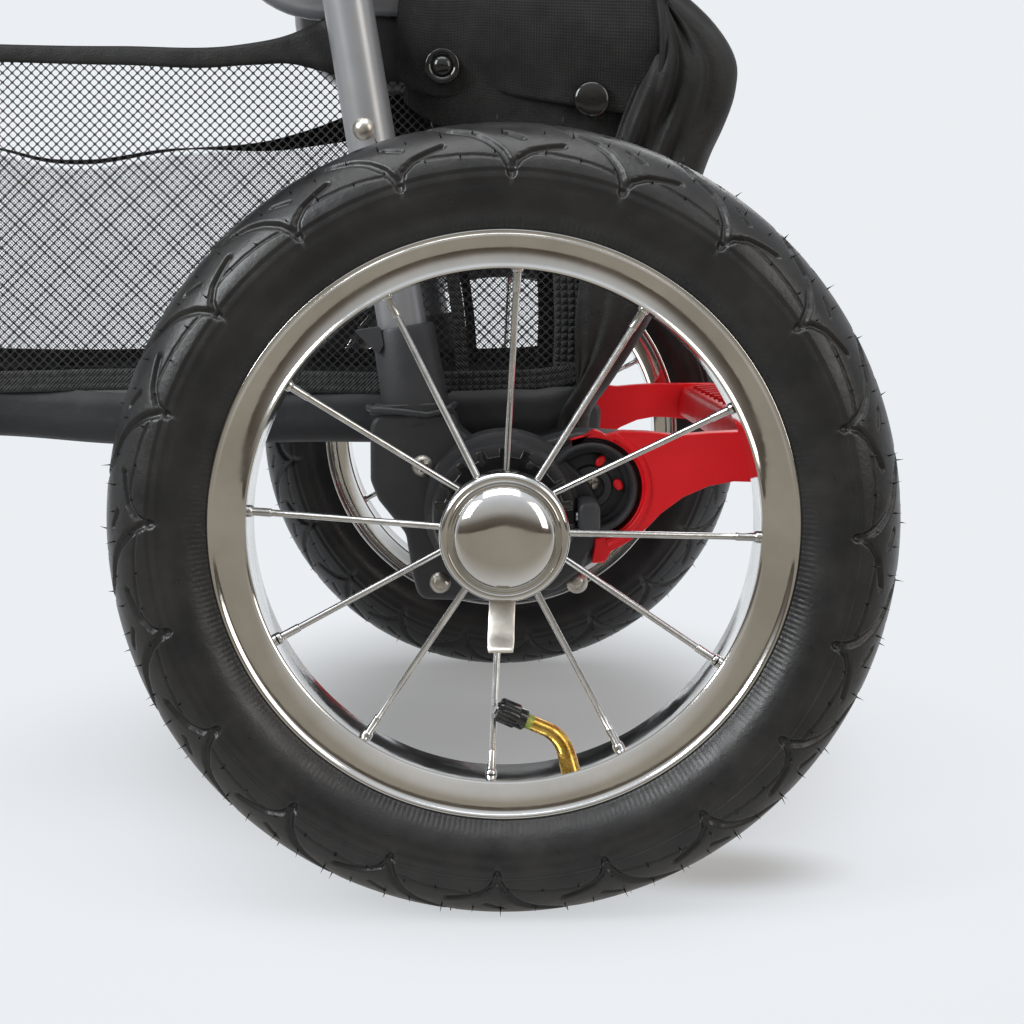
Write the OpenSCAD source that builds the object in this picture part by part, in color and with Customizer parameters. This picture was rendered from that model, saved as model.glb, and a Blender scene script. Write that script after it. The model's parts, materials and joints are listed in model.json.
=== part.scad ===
// Three-wheel pushchair with air tyres. It faces -Y and stands on z = 0.
// Most places are stated from the rear axle: y = 0 there, before in_frame() moves the part to its own origin.

/* [Wheels] */
// Outer diameter of every tyre
tyre_d = 300; // [296:1:304]
// Width of every tyre
tyre_w = 47; // [44:1:48]
// Outer diameter of every rim
rim_d = 220; // [218:1:222]
// Number of spokes in each wheel
spoke_count = 12; // [8:2:16]
// Number of notches in each brake ring
brake_notches = 24; // [20:4:28]
// Diameter of the rear and front axles
axle_d = 12; // [10:0.5:12]

/* [Frame] */
// Distance between the centre planes of the rear wheels
track = 520; // [516:1:530]
// Distance from the rear axle to the front axle
wheelbase = 685; // [680:1:700]
// Distance that the front axle trails behind its swivel axis
trail = 45; // [40:1:50]
// Outer diameter of the main frame tubes
frame_tube_d = 25; // [22:0.5:25]
// Outer diameter of the rear leg tubes
leg_tube_d = 20; // [18:0.5:20]
// Height of the hand grip above the floor
handle_z = 1030; // [1000:5:1060]
// Diameter of the hand grip
grip_d = 34; // [30:1:36]

/* [Seat] */
// Outer width of the seat pad
seat_w = 276; // [250:2:278]
// Length of the backrest
back_len = 450; // [400:5:460]
// Lean of the backrest from upright
back_lean = 15; // [10:1:20]
// Radius of the canopy bows about the main hinge
canopy_r = 400; // [380:5:410]

/* [Hidden] */
$fn = 48;
wheel_r = tyre_d / 2;
rim_r = rim_d / 2;
tube_r = tyre_w / 2;                    // section radius of a tyre
tube_c = wheel_r - tube_r;              // radius of the tyre section's centre circle
rim_floor = rim_r - 14;                 // inner radius of the rim channel
rim_half = 14;                          // half width of the rim
axle_r = axle_d / 2;
frame_r = frame_tube_d / 2;
leg_r = leg_tube_d / 2;
side_x = 160;                           // front frame and seat side tubes
leg_x = 187;                            // rear legs
handle_x = 212;                         // handle tubes
hinge = [-103, 600];                    // main folding hinge, y and z
handle_y = 300;                         // middle of the hand grip
swivel_y = -wheelbase - trail;
frame_y = (wheelbase + wheel_r - handle_y - grip_d / 2) / 2;
pin_r = 4;
pin_bore = pin_r + 0.1;
boss = [38.7, 159];                     // pivot of the brake bar, y and z
back_hinge = [35, 385];                 // pivot of the backrest, y and z
bumper_hinge = [-205, 590];             // pivot of the bumper bar, y and z
knee = [side_x, -520, 430];             // bend of a front tube
head_z = [335, 420];                    // lowest and highest of the head tube

function unit(v) = v / norm(v);
function rot_dir(angle) = [0, cos(angle), sin(angle)];
handle_dir = unit([0, handle_y - hinge[0], handle_z - hinge[1]]);
leg_dir = unit([0, 66.9, -410]);        // down a rear leg from the hinge

module in_frame() { translate([0, frame_y, 0]) children(); }
module both_sides() { children(); mirror([1, 0, 0]) children(); }
module placed(x, y, z, o) {
    multmatrix([[x.x, y.x, z.x, o.x], [x.y, y.y, z.y, o.y], [x.z, y.z, z.z, o.z], [0, 0, 0, 1]]) children();
}
// a disc across X, with y and z as a pair
module disc(x0, x1, at, r, bore = 0) {
    translate([x0, at[0], at[1]]) rotate([0, 90, 0]) difference() {
        cylinder(r = r, h = x1 - x0);
        if (bore > 0) translate([0, 0, -1]) cylinder(r = bore, h = x1 - x0 + 2);
    }
}
module rod(a, b, r) {
    u = unit(b - a);
    side = unit(cross(u, abs(u.z) < 0.9 ? [0, 0, 1] : [1, 0, 0]));
    placed(side, cross(u, side), u, a) cylinder(r = r, h = norm(b - a));
}
// extrudes a profile drawn in y and z from x0 to x1
module across(x0, x1) { translate([x0, 0, 0]) rotate([90, 0, 90]) linear_extrude(x1 - x0) children(); }

// centre line of a bent tube: each inner point becomes an arc of radius bend_r
function bend_pts(p, u, v, bend_r, steps) =
    let (turn = acos(u * v), n = unit(cross(u, v)), inward = cross(n, u),
         c = p - u * bend_r * tan(turn / 2) + inward * bend_r)
    [for (i = [0 : steps]) let (t = turn * i / steps) [c + bend_r * (-inward * cos(t) + u * sin(t)),
        u * cos(t) + inward * sin(t)]];
function tube_line(pts, bend_r) = let (last = len(pts) - 1) concat(
    [[pts[0], unit(pts[1] - pts[0])]],
    [for (i = [1 : 1 : last - 1]) each bend_pts(pts[i], unit(pts[i] - pts[i - 1]), unit(pts[i + 1] - pts[i]),
        bend_r, 6)],
    [[pts[last], unit(pts[last] - pts[last - 1])]]);
function carry(side, u) = unit(side - u * (side * u));
function sides(line, i = 0, side = [0.1, 0.2, 0.97]) = i == len(line) ? [] :
    let (s = carry(side, line[i][1])) concat([s], sides(line, i + 1, s));
// a bent tube with open ends, swept as one skin outside and one inside
module tube(pts, r, wall, bend_r, n = 20) {
    line = tube_line(pts, bend_r);
    side = sides(line);
    rings = len(line);
    skin = [for (radius = [r, r - wall], k = [0 : rings - 1], j = [0 : n - 1])
        let (s = side[k], t = cross(line[k][1], s), a = 360 * j / n)
        line[k][0] + radius * (s * cos(a) + t * sin(a))];
    inner = rings * n;
    end = (rings - 1) * n;
    polyhedron(skin, concat(
        [for (k = [0 : rings - 2], j = [0 : n - 1]) let (a = k * n + j, b = k * n + (j + 1) % n) each
            [[a, a + n, b + n], [a, b + n, b], [inner + a, inner + b + n, inner + a + n],
             [inner + a, inner + b, inner + b + n]]],
        [for (j = [0 : n - 1]) let (b = (j + 1) % n) each
            [[j, b, inner + b], [j, inner + b, inner + j],
             [end + j, inner + end + b, end + b], [end + j, inner + end + j, inner + end + b]]]));
}

// ---- wheels, drawn about their own centre with the axle along X and the outboard side at +X ----
module turned() { rotate([0, 90, 0]) rotate([0, 0, 90]) rotate_extrude($fn = 96) children(); }
// rotate_extrude's radius is the profile's x and its height becomes the wheel's X
module tyre() {
    color([0.06, 0.06, 0.06]) turned() difference() {
        union() {
            difference() {
                translate([tube_c, 0]) circle(tube_r);
                translate([0, -50]) square([rim_r + 0.1, 100]);
            }
            translate([rim_floor + 3, -11.8]) square([12, 23.6]);
        }
        translate([tube_c, 0]) circle(tube_r - 3.5);
        translate([rim_floor + 2, -6]) square([tube_c - rim_floor, 12]);
    }
}
valve_turn = 15;                         // how far behind the lowest point the valve is
valve_out = [[0, 0, -104], [0, 0, -84.5], [2, -14, -72.9]];
module inner_tube() {
    color([0.75, 0.58, 0.25]) rotate([valve_turn, 0, 0]) {
        tube(valve_out, 3, 1.8, 9, 12);
        u = unit(valve_out[2] - valve_out[1]);
        rod(valve_out[2] - u * 3, valve_out[2] + u * 9.5, 4.7);
    }
    color([0.1, 0.1, 0.1]) turned() difference() {
        translate([tube_c, 0]) circle(tube_r - 3.9);
        translate([tube_c, 0]) circle(tube_r - 5.5);
    }
}
module rim() {
    color([0.8, 0.8, 0.82]) difference() {
        turned() {
            translate([rim_floor, -rim_half]) square([2, 2 * rim_half]);
            for (s = [-1, 1]) translate([rim_floor + 1, s * (rim_half - 1) - 1]) square([13, 2]);
        }
        rotate([valve_turn, 0, 0]) translate([0, 0, -rim_r - 5]) cylinder(r = 4.2, h = 30);
    }
}
module spokes(flange_x, turn = 3) {
    color([0.8, 0.8, 0.82]) for (i = [0 : spoke_count - 1]) rotate([-turn - i * 360 / spoke_count, 0, 0]) {
        foot = [(i % 2 == 0 ? -1 : 1) * flange_x, 0, 15.5];
        top = [0, 0, rim_floor - 0.1];
        u = unit(top - foot);
        rod(foot, top - u * 7, 1.35);
        rod(top - u * 8, top, 2.2);
    }
}
module hub(x0, x1, flange_x, cap_seat = false) {
    color([0.12, 0.12, 0.13]) difference() {
        union() {
            disc(x0, x1, [0, 0], 13);
            if (cap_seat) disc(33, x1, [0, 0], 21.45);
            for (s = [-1, 1]) disc(s * flange_x - 2, s * flange_x + 2, [0, 0], 19);
        }
        disc(x0 - 1, x1 + 1, [0, 0], axle_r + 0.6);
        disc(x0 - 1, x0 + 8, [0, 0], 10.5);
        disc(x1 - 8, x1 + 1, [0, 0], 10.5);
    }
}
module bearings(x0, x1) {
    color([0.6, 0.6, 0.62]) for (x = [x0 + 0.5, x1 - 7.5]) disc(x, x + 7, [0, 0], 10.45, axle_r + 0.05);
}
module brake_ring() {
    color([0.08, 0.08, 0.08]) difference() {
        disc(-29.5, -23, [0, 0], 27, 13.05);
        for (i = [0 : brake_notches - 1]) rotate([i * 360 / brake_notches, 0, 0])
            translate([-30.5, 24, -1.9]) cube([9, 5, 3.8]);
    }
}
module hub_cap() {
    color([0.8, 0.8, 0.82]) difference() {
        turned() polygon(concat([[21.5, 33], [22.9, 33], [22.9, 42.5], [20, 44]],
            [for (a = [0 : 15 : 90]) [20 * cos(a), 44 + 5.5 * sin(a)]],
            [for (a = [90 : -15 : 0]) [18.8 * cos(a), 42.8 + 5.4 * sin(a)]], [[21.5, 41.8]]));
        translate([32, -5.4, -30]) cube([8, 10.8, 20]);
    }
}
clip_travel = 3;
module axle_clip() {
    color([0.7, 0.68, 0.6]) difference() {
        union() {
            translate([37, -12, -14]) cube([1.6, 24, 26.5]);
            translate([37, -4.8, -41]) cube([1.6, 9.6, 29]);
            translate([37, -4.8, -41]) cube([6, 9.6, 1.6]);
        }
        translate([36, 0, 0]) rotate([0, 90, 0]) cylinder(r = axle_r - 1, h = 4);
        translate([36, -axle_r - 0.3, -clip_travel - 0.3]) cube([4, 2 * axle_r + 0.6, clip_travel]);
        translate([36, 0, -clip_travel - 0.3]) rotate([0, 90, 0]) cylinder(r = axle_r + 0.3, h = 4);
    }
}
rear_hub = [-32, 36, 20];                // inboard end, outboard end and flange place of a rear hub
front_hub = [-29, 29, 20];
module rear_wheel(side) {
    in_frame() mirror([side < 0 ? 1 : 0, 0, 0]) translate([track / 2, 0, wheel_r]) children();
}
module front_wheel() { in_frame() translate([0, -wheelbase, wheel_r]) children(); }

module left_tyre() { rear_wheel(1) tyre(); }
module left_inner_tube() { rear_wheel(1) inner_tube(); }
module left_rim() { rear_wheel(1) rim(); }
module left_spokes() { rear_wheel(1) spokes(rear_hub[2]); }
module left_hub() { rear_wheel(1) hub(rear_hub[0], rear_hub[1], rear_hub[2], true); }
module left_bearings() { rear_wheel(1) bearings(rear_hub[0], rear_hub[1]); }
module left_brake_ring() { rear_wheel(1) brake_ring(); }
module left_hub_cap() { rear_wheel(1) hub_cap(); }
module left_axle_clip() { rear_wheel(1) axle_clip(); }
module right_tyre() { rear_wheel(-1) tyre(); }
module right_inner_tube() { rear_wheel(-1) inner_tube(); }
module right_rim() { rear_wheel(-1) rim(); }
module right_spokes() { rear_wheel(-1) spokes(rear_hub[2]); }
module right_hub() { rear_wheel(-1) hub(rear_hub[0], rear_hub[1], rear_hub[2], true); }
module right_bearings() { rear_wheel(-1) bearings(rear_hub[0], rear_hub[1]); }
module right_brake_ring() { rear_wheel(-1) brake_ring(); }
module right_hub_cap() { rear_wheel(-1) hub_cap(); }
module right_axle_clip() { rear_wheel(-1) axle_clip(); }
module front_tyre() { front_wheel() tyre(); }
module front_inner_tube() { front_wheel() inner_tube(); }
module front_rim() { front_wheel() rim(); }
module front_spokes() { front_wheel() spokes(front_hub[2]); }
module front_hub() { front_wheel() hub(front_hub[0], front_hub[1], front_hub[2]); }
module front_bearings() { front_wheel() bearings(front_hub[0], front_hub[1]); }

// ---- front fork ----
blade_x = 40;
module fork() {
    color("silver") in_frame() {
        both_sides() {
            difference() {
                union() {
                    tube([[blade_x, swivel_y, 326], [blade_x, swivel_y, 270], [blade_x, -wheelbase, 172]],
                        9, 1.6, 60);
                    disc(blade_x - 8.5, blade_x - 3.5, [-wheelbase, wheel_r], 15);
                    translate([blade_x - 8.5, -wheelbase - 10, wheel_r]) cube([5, 20, 30]);
                }
                disc(blade_x - 12, blade_x + 12, [-wheelbase, wheel_r], axle_r + 0.02);
            }
        }
        translate([-52, swivel_y - 16, 316]) cube([104, 32, 17]);
        translate([0, swivel_y, 325]) cylinder(r = 10, h = 86);
    }
}
module front_axle() {
    color("silver") in_frame() {
        disc(-40, 40, [-wheelbase, wheel_r], axle_r);
        both_sides() disc(blade_x - 3.4, blade_x + 5, [-wheelbase, wheel_r], 10, axle_r - 0.01);
    }
}
module head_tube() {
    color([0.1, 0.1, 0.11]) in_frame() translate([0, swivel_y, 0]) difference() {
        translate([0, 0, head_z[0]]) cylinder(r = 19, h = head_z[1] - head_z[0]);
        translate([0, 0, head_z[0] - 1]) cylinder(r = 10.05, h = 79);
        translate([0, 0, head_z[0] + 70]) cylinder(r = pin_r + 0.05, h = 30);
    }
}
module swivel_knob() {
    color([0.75, 0.05, 0.08]) in_frame() translate([0, swivel_y, 0]) {
        translate([0, 0, head_z[1] - 6]) cylinder(r = pin_r, h = 8);
        translate([0, 0, head_z[1] + 0.5]) cylinder(r = 13, h = 18);
        translate([0, 0, head_z[1] + 18.5]) cylinder(r1 = 13, r2 = 10, h = 5);
    }
}

// ---- chassis ----
front_dir = unit([0, knee.y - hinge[0], knee.z - hinge[1]]);
module front_frame() {
    color("silver") in_frame() difference() {
        both_sides() tube([[side_x, hinge[0], hinge[1]] + front_dir * 27, knee, [14, swivel_y + 8, 384]],
            frame_r, 1.6, 70);
        translate([0, swivel_y, 300]) cylinder(r = 19.05, h = 150);
    }
}
seat_tube_z = 362.5;
seat_bend = [side_x, hinge[0] - 3, seat_tube_z];
module seat_side_tubes() {
    color("silver") in_frame() both_sides()
        tube([[side_x, 85, seat_tube_z], seat_bend, [side_x, hinge[0], hinge[1] - 27]], frame_r, 1.6, 30);
}
module hinge_blocks() {
    color([0.08, 0.08, 0.08]) in_frame() both_sides() {
        disc(146.5, 173.5, hinge, 26.5, pin_bore);
    }
}
module handle_knuckles() {
    color([0.08, 0.08, 0.08]) in_frame() both_sides() disc(199.5, 224.5, hinge, 26, pin_bore);
}
module hinge_pins() {
    color([0.7, 0.7, 0.72]) in_frame() both_sides() {
        disc(132, 226, hinge, pin_r);
        disc(225, 229, hinge, 9);
        disc(128, 132.5, hinge, 8);
    }
}
module footrest() {
    color([0.08, 0.08, 0.08]) in_frame() {
        tube([[138, -556, 411], [138, -556, 352], [-138, -556, 352], [-138, -556, 411]], 8, 2, 26);
        difference() {
            translate([-115, -600, 360.2]) cube([230, 112, 6]);
            for (i = [0 : 4]) translate([-100, -592 + i * 22, 358]) cube([200, 8, 6]);
        }
    }
}
module seat_pad() {
    color([0.06, 0.06, 0.06]) in_frame() across(-seat_w / 2, seat_w / 2) offset(r = 4, $fn = 24)
        offset(delta = -4)
        polygon([[2, 412], [-120, 438], [-262, 454], [-284, 438], [-278, 421], [-114, 415.5], [-56, 381],
            [2, 378.5]]);
}
module seat_sling() {
    color([0.07, 0.07, 0.07]) in_frame() difference() {
        across(-142, 142) polygon([[24, 398], [20, 370], [-60, 374], [-118, 408], [-290, 413], [-470, 400],
            [-480, 416], [-420, 450], [-318, 500], [-140, 560], [-98, 545], [-40, 440]]);
        across(-139.5, 139.5) polygon([[80, 374], [20, 373], [-59, 377], [-117, 411], [-290, 416],
            [-500, 402],
            [-500, 620], [40, 700], [80, 500]]);
    }
}
module side_sleeves() {
    color([0.06, 0.06, 0.06]) in_frame() both_sides() {
        translate([side_x, 70, seat_tube_z]) rotate([90, 0, 0]) difference() {
            cylinder(r = frame_r + 4, h = 106);
            translate([0, 0, -1]) cylinder(r = frame_r + 0.1, h = 108);
        }
    }
}
module lap_harness() {
    color([0.05, 0.05, 0.05]) in_frame() both_sides()
        rod([128, 1, 417], [34, -96, 443], 2);
}
module buckle() {
    color([0.05, 0.05, 0.05]) in_frame() placed([1, 0, 0], [0, cos(168), sin(168)], [0, -sin(168), cos(168)],
        [0, -110, 440.3]) translate([-30, -22, 0]) mirror([0, 0, 1]) cube([60, 44, 12]);
}
basket_z = [178, 338];
module basket() {
    color([0.1, 0.1, 0.1]) in_frame() difference() {
        across(-165, 165) polygon([[90, 330], [84, 288], [60, 222], [38, 188], [20, basket_z[0]],
            [-400, basket_z[0]], [-430, basket_z[0] + 20], [-430, basket_z[1] - 40], [-400, basket_z[1]],
            [78, basket_z[1]]]);
        across(-162, 162) polygon([[87, basket_z[1] + 4], [87, 330], [81, 288.5], [57.3, 223.5], [36, 190.6],
            [18.5, basket_z[0] + 3], [-398, basket_z[0] + 3], [-426, basket_z[0] + 22],
                [-426, basket_z[1] + 4]]);
    }
}

// ---- canopy: three nested bows, each a flat strip drawn in the plane of its own angle ----
module bow_plane(angle) {
    in_frame() placed([1, 0, 0], rot_dir(angle), [0, -sin(angle), cos(angle)], [0, hinge[0], hinge[1]])
        children();
}
module bow_shape(half, top, corner) {
    translate([-half, 0]) square([2 * half, top - corner]);
    translate([-half + corner, 0]) square([2 * (half - corner), top]);
    for (s = [-1, 1]) translate([s * (half - corner), top - corner]) circle(corner);
}
module bow(angle, layer) {
    half = 144 - layer * 3.6;
    top = canopy_r - layer * 3.6;
    color([0.08, 0.08, 0.08]) {
        bow_plane(angle) translate([0, 0, -7]) linear_extrude(14) difference() {
            bow_shape(half, top, 90);
            bow_shape(half - 3.2, top - 3.2, 86.8);
            translate([-200, -1]) square([400, 16.2]);
        }
        in_frame() both_sides() disc(half - 3.1, half - 0.1, hinge, 17, pin_bore);
    }
}
bow_angles = [50, 88, 126];
module canopy_rear_bow() { bow(bow_angles[0], 0); }
module canopy_mid_bow() { bow(bow_angles[1], 1); }
module canopy_front_bow() { bow(bow_angles[2], 2); }
// fabric over the bows from one angle to the next, as a thin shell
module panel(from, to) {
    color([0.07, 0.07, 0.07]) in_frame() difference() {
        panel_body(from, to, 150, 149, canopy_r + 5, 95);
        panel_body(from - 9, to + 9, 130, 146, canopy_r + 2, 92);
    }
}
module panel_body(from, to, low, half, top, corner) {
    translate([0, hinge[0], hinge[1]]) rotate([90, 0, 90]) rotate([0, 0, from])
        rotate_extrude(angle = to - from, $fn = 72) difference() {
            translate([low, -half]) square([top - low, 2 * half]);
            for (s = [-1, 1]) translate([top - corner, s * (half - corner)]) difference() {
                translate([0, s < 0 ? -corner : 0]) square(corner);
                circle(corner);
            }
        }
}
module canopy_rear_panel() { panel(bow_angles[0] + 1.5, bow_angles[1] - 1.5); }
module canopy_front_panel() { panel(bow_angles[1] + 1.5, bow_angles[2] + 1.5); }

// ---- backrest ----
back_up = rot_dir(90 - back_lean);
back_out = [0, -sin(90 - back_lean), cos(90 - back_lean)];   // towards the sitter
module in_back() {
    in_frame() placed([1, 0, 0], back_up, back_out, [0, back_hinge[0], back_hinge[1]]) children();
}
module back_frame() {
    color("silver") in_back() difference() {
        union() {
            tube([[130, 12, 0], [130, back_len - 10, 0], [-130, back_len - 10, 0], [-130, 12, 0]], 7, 1.5,
                45);
            for (s = [-1, 1]) translate([s * 130, 0, 0]) rotate([0, 90, 0])
                cylinder(r = 13, h = 8, center = true);
        }
        rotate([0, 90, 0]) cylinder(r = pin_bore, h = 300, center = true);
    }
}
module back_pad() {
    color([0.06, 0.06, 0.06]) in_back() translate([0, 0, 8]) linear_extrude(28) translate([-118, 24])
        offset(r = 30, $fn = 32) translate([30, 30]) square([176, back_len - 80]);
}
module shoulder_straps() {
    color([0.05, 0.05, 0.05]) in_back() for (s = [-1, 1])
        translate([s * 42 - 16, 90, 36.4]) cube([32, back_len - 150, 2.5]);
}

// ---- handle ----
module in_handle(side) {
    in_frame() placed([1, 0, 0], [0, -handle_dir.z, handle_dir.y], handle_dir,
        [side * handle_x, hinge[0], hinge[1]]) children();
}
module handle_tube() {
    color("silver") in_frame() tube([[handle_x, hinge[0], hinge[1]] + handle_dir * 26.8,
        [handle_x, handle_y, handle_z], [-handle_x, handle_y, handle_z],
        [-handle_x, hinge[0], hinge[1]] + handle_dir * 26.8], frame_r, 1.6, 70, 24);
}
module handle_grip() {
    color([0.05, 0.05, 0.05]) in_frame() translate([-135, handle_y, handle_z]) rotate([0, 90, 0])
        difference() {
        cylinder(r = grip_d / 2, h = 270);
        translate([0, 0, -1]) cylinder(r = frame_r + 0.05, h = 272);
    }
}
module trigger(side) {
    color([0.1, 0.1, 0.1]) in_handle(side) difference() {
        union() {
            translate([0, 0, 395]) cylinder(r = 17.5, h = 46);
            translate([-5, 10, 400]) cube([10, 20, 12]);
        }
        translate([0, 0, 390]) cylinder(r = frame_r + 0.08, h = 60);
    }
}
module left_trigger() { trigger(1); }
module right_trigger() { trigger(-1); }

// ---- rear legs, brackets and brake ----
leg_foot = [leg_x, -36, 190];
module leg_tubes() {
    color([0.7, 0.7, 0.71]) in_frame() both_sides() {
        tube([[leg_x, hinge[0], hinge[1]] + leg_dir * 24.5, leg_foot], leg_r, 1.5, 10);
        disc(176, 198, hinge, 24, pin_bore);
    }
}
module bracket_side() {
    offset(r = 8, $fn = 32) offset(delta = -8)
        polygon([[-55, 176], [-50, 187], [-20, 187], [-4, 176], [10, 186],
        [40, 187], [60, 176], [60, 150], [46, 126], [14, 112], [-22, 112], [-40, 124], [-50, 150]]);
}
bracket_x = [173, 201];
// y and height from the axle, and the x that each screw head sits on
screws = [[-33, 17, 200], [35, 11, 214], [-26, -31, 200], [30, -31, 200]];
pin_guide = [30, 56];                    // y of the housing that guides a brake pin
module axle_brackets() {
    color([0.06, 0.06, 0.06]) in_frame() both_sides() difference() {
        union() {
            across(bracket_x[0], bracket_x[1]) bracket_side();
            rod([leg_x, -29.5, 150], leg_foot - leg_dir * 32, leg_r + 4);
            disc(bracket_x[1] - 2, 215, boss, 21);
            disc(bracket_x[1] - 2, 226, [0, wheel_r], 14);
            translate([216, 0, wheel_r - 7]) cube([10.5, pin_guide[1], 14]);
            translate([216, pin_guide[0], wheel_r - 7]) cube([24, pin_guide[1] - pin_guide[0], 14]);
        }
        disc(165, 240, [0, wheel_r], axle_r + 0.01);
        rod(leg_foot, leg_foot - leg_dir * 60, leg_r + 0.02);
        translate([track / 2 - 26.2, 20, wheel_r]) rotate([-90, 0, 0]) cylinder(r = 1.65, h = 60);
        for (s = screws) disc(s[2], s[2] + 20, [s[0], wheel_r + s[1]], 5.2);
    }
}
module rear_axle() {
    color([0.6, 0.6, 0.62]) in_frame() {
        difference() {
            disc(-track / 2 - 40.5, track / 2 + 40.5, [0, wheel_r], axle_r);
            both_sides() difference() {
                disc(track / 2 + 36.7, track / 2 + 38.9, [0, wheel_r], axle_r + 1);
                disc(track / 2 + 36, track / 2 + 39.5, [0, wheel_r], axle_r - 1.4);
            }
        }
    }
}
rivets = [[-56.5, 305], [-63.6, 358.5]];
module rear_fasteners() {
    color([0.75, 0.75, 0.77]) in_frame() both_sides() {
        for (s = screws) disc(s[2], s[2] + 1.7, [s[0], wheel_r + s[1]], 4.6);
        for (p = rivets) disc(leg_x + leg_r - 0.9, leg_x + leg_r + 1.2, p, 4.4);
    }
}
arm_x = [201.8, 214];
module brake_arm() {
    difference() {
        union() {
            translate(boss) rotate(-100) intersection() {
                circle(33, $fn = 96);
                polygon([[0, 0], [60, 0], [60, 60], [-60, 60], [-60, -34], [-10, -5]]);
            }
            polygon([[50, 133], [44, 190], [66, 187], [96, 181], [128, 182], [135, 176], [134, 162],
                [108, 159],
                [84, 154], [66, 140]]);
        }
        translate(boss) circle(21.06, $fn = 96);
        polygon([[boss[0], boss[1]], [boss[0] - 3, 100], [0, 100], [0, 200], [26, 200]]);
    }
}
module brake_bar() {
    color([0.85, 0.03, 0.06]) in_frame() {
        both_sides() across(arm_x[0], arm_x[1]) brake_arm();
        across(-arm_x[0] - 0.5, arm_x[0] + 0.5) offset(r = 4, $fn = 24) offset(delta = -4)
            polygon([[108, 161], [110, 179], [134, 182], [136, 161]]);
    }
}
module brake_pins() {
    color([0.6, 0.6, 0.62]) in_frame() both_sides()
        translate([track / 2 - 26.2, 28.2, wheel_r]) rotate([-90, 0, 0]) cylinder(r = 1.6, h = 32);
}

// ---- bumper bar ----
module bumper_bar() {
    color([0.06, 0.06, 0.06]) in_frame() {
        y = bumper_hinge[0];
        z = bumper_hinge[1];
        tube([[150, y - 10, z + 0.9], [150, y - 200, z + 18], [-150, y - 200, z + 18],
            [-150, y - 10, z + 0.9]],
            9, 2, 60);
        both_sides() disc(144, 159.5, bumper_hinge, 13.5, pin_bore);
    }
}
// lugs on the main tubes that carry the bumper bar and the backrest
module frame_lugs() {
    color([0.08, 0.08, 0.08]) in_frame() both_sides() {
        difference() {
            union() {
                disc(160, 168, bumper_hinge, 13.5);
                placed([1, 0, 0], front_dir, [0, -front_dir.z, front_dir.y],
                    [side_x, hinge[0], hinge[1]] + front_dir * 94) translate([0.4, -14, -30])
                        cube([7.2, 28, 22]);
            }
            rod([side_x, hinge[0], hinge[1]] + front_dir * 40, [side_x, hinge[0], hinge[1]] + front_dir * 160,
                frame_r + 0.1);
        }
        disc(143, 160.5, bumper_hinge, pin_r);
        disc(135.6, 142.4, back_hinge, 11.5);
        translate([136, back_hinge[0] - 9, seat_tube_z - 7]) cube([6, 18, 20]);
        translate([135.8, back_hinge[0] - 10, seat_tube_z - 8]) cube([11.6, 20, 6]);
        disc(125, 136.5, back_hinge, pin_r);
    }
}

left_tyre();
left_inner_tube();
left_rim();
left_spokes();
left_hub();
left_bearings();
left_brake_ring();
left_hub_cap();
left_axle_clip();
right_tyre();
right_inner_tube();
right_rim();
right_spokes();
right_hub();
right_bearings();
right_brake_ring();
right_hub_cap();
right_axle_clip();
front_tyre();
front_inner_tube();
front_rim();
front_spokes();
front_hub();
front_bearings();
fork();
front_axle();
swivel_knob();
front_frame();
head_tube();
seat_side_tubes();
hinge_blocks();
hinge_pins();
footrest();
seat_pad();
seat_sling();
side_sleeves();
lap_harness();
buckle();
basket();
canopy_rear_bow();
canopy_mid_bow();
canopy_front_bow();
canopy_rear_panel();
canopy_front_panel();
back_frame();
back_pad();
handle_tube();
handle_grip();
left_trigger();
right_trigger();
leg_tubes();
axle_brackets();
rear_axle();
rear_fasteners();
brake_bar();
brake_pins();
bumper_bar();
frame_lugs();
handle_knuckles();
shoulder_straps();
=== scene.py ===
"""The looks of the pushchair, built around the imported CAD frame.

Lengths are in metres unless a name ends in mm.
"""
import json
import math
import random

import bpy
import numpy as np
from mathutils import Matrix, Vector

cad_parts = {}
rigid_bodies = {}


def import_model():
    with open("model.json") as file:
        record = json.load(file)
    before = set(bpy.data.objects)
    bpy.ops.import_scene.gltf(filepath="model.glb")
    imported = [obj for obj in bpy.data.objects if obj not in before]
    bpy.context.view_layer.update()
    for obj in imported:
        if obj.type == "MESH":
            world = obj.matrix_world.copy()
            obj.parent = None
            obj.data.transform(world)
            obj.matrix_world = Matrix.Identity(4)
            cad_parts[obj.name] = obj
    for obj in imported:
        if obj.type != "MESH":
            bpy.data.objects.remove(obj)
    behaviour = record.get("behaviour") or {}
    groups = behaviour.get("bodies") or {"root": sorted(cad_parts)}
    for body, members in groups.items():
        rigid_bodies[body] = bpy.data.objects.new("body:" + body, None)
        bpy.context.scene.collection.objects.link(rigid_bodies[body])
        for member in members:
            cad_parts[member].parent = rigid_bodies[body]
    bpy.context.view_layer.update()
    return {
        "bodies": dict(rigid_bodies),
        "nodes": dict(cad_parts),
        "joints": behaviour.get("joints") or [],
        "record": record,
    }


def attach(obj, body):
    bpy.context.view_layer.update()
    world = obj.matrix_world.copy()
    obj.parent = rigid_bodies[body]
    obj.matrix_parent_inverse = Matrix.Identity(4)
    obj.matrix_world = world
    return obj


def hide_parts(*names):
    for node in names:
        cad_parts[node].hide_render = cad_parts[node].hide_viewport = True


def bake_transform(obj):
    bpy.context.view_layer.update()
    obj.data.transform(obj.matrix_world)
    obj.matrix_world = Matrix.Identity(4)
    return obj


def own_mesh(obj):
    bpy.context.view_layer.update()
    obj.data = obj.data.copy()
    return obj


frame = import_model()
random.seed(4)
MM = 0.001


def joint(name):
    return next(j for j in frame["joints"] if j["name"] == name)


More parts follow.
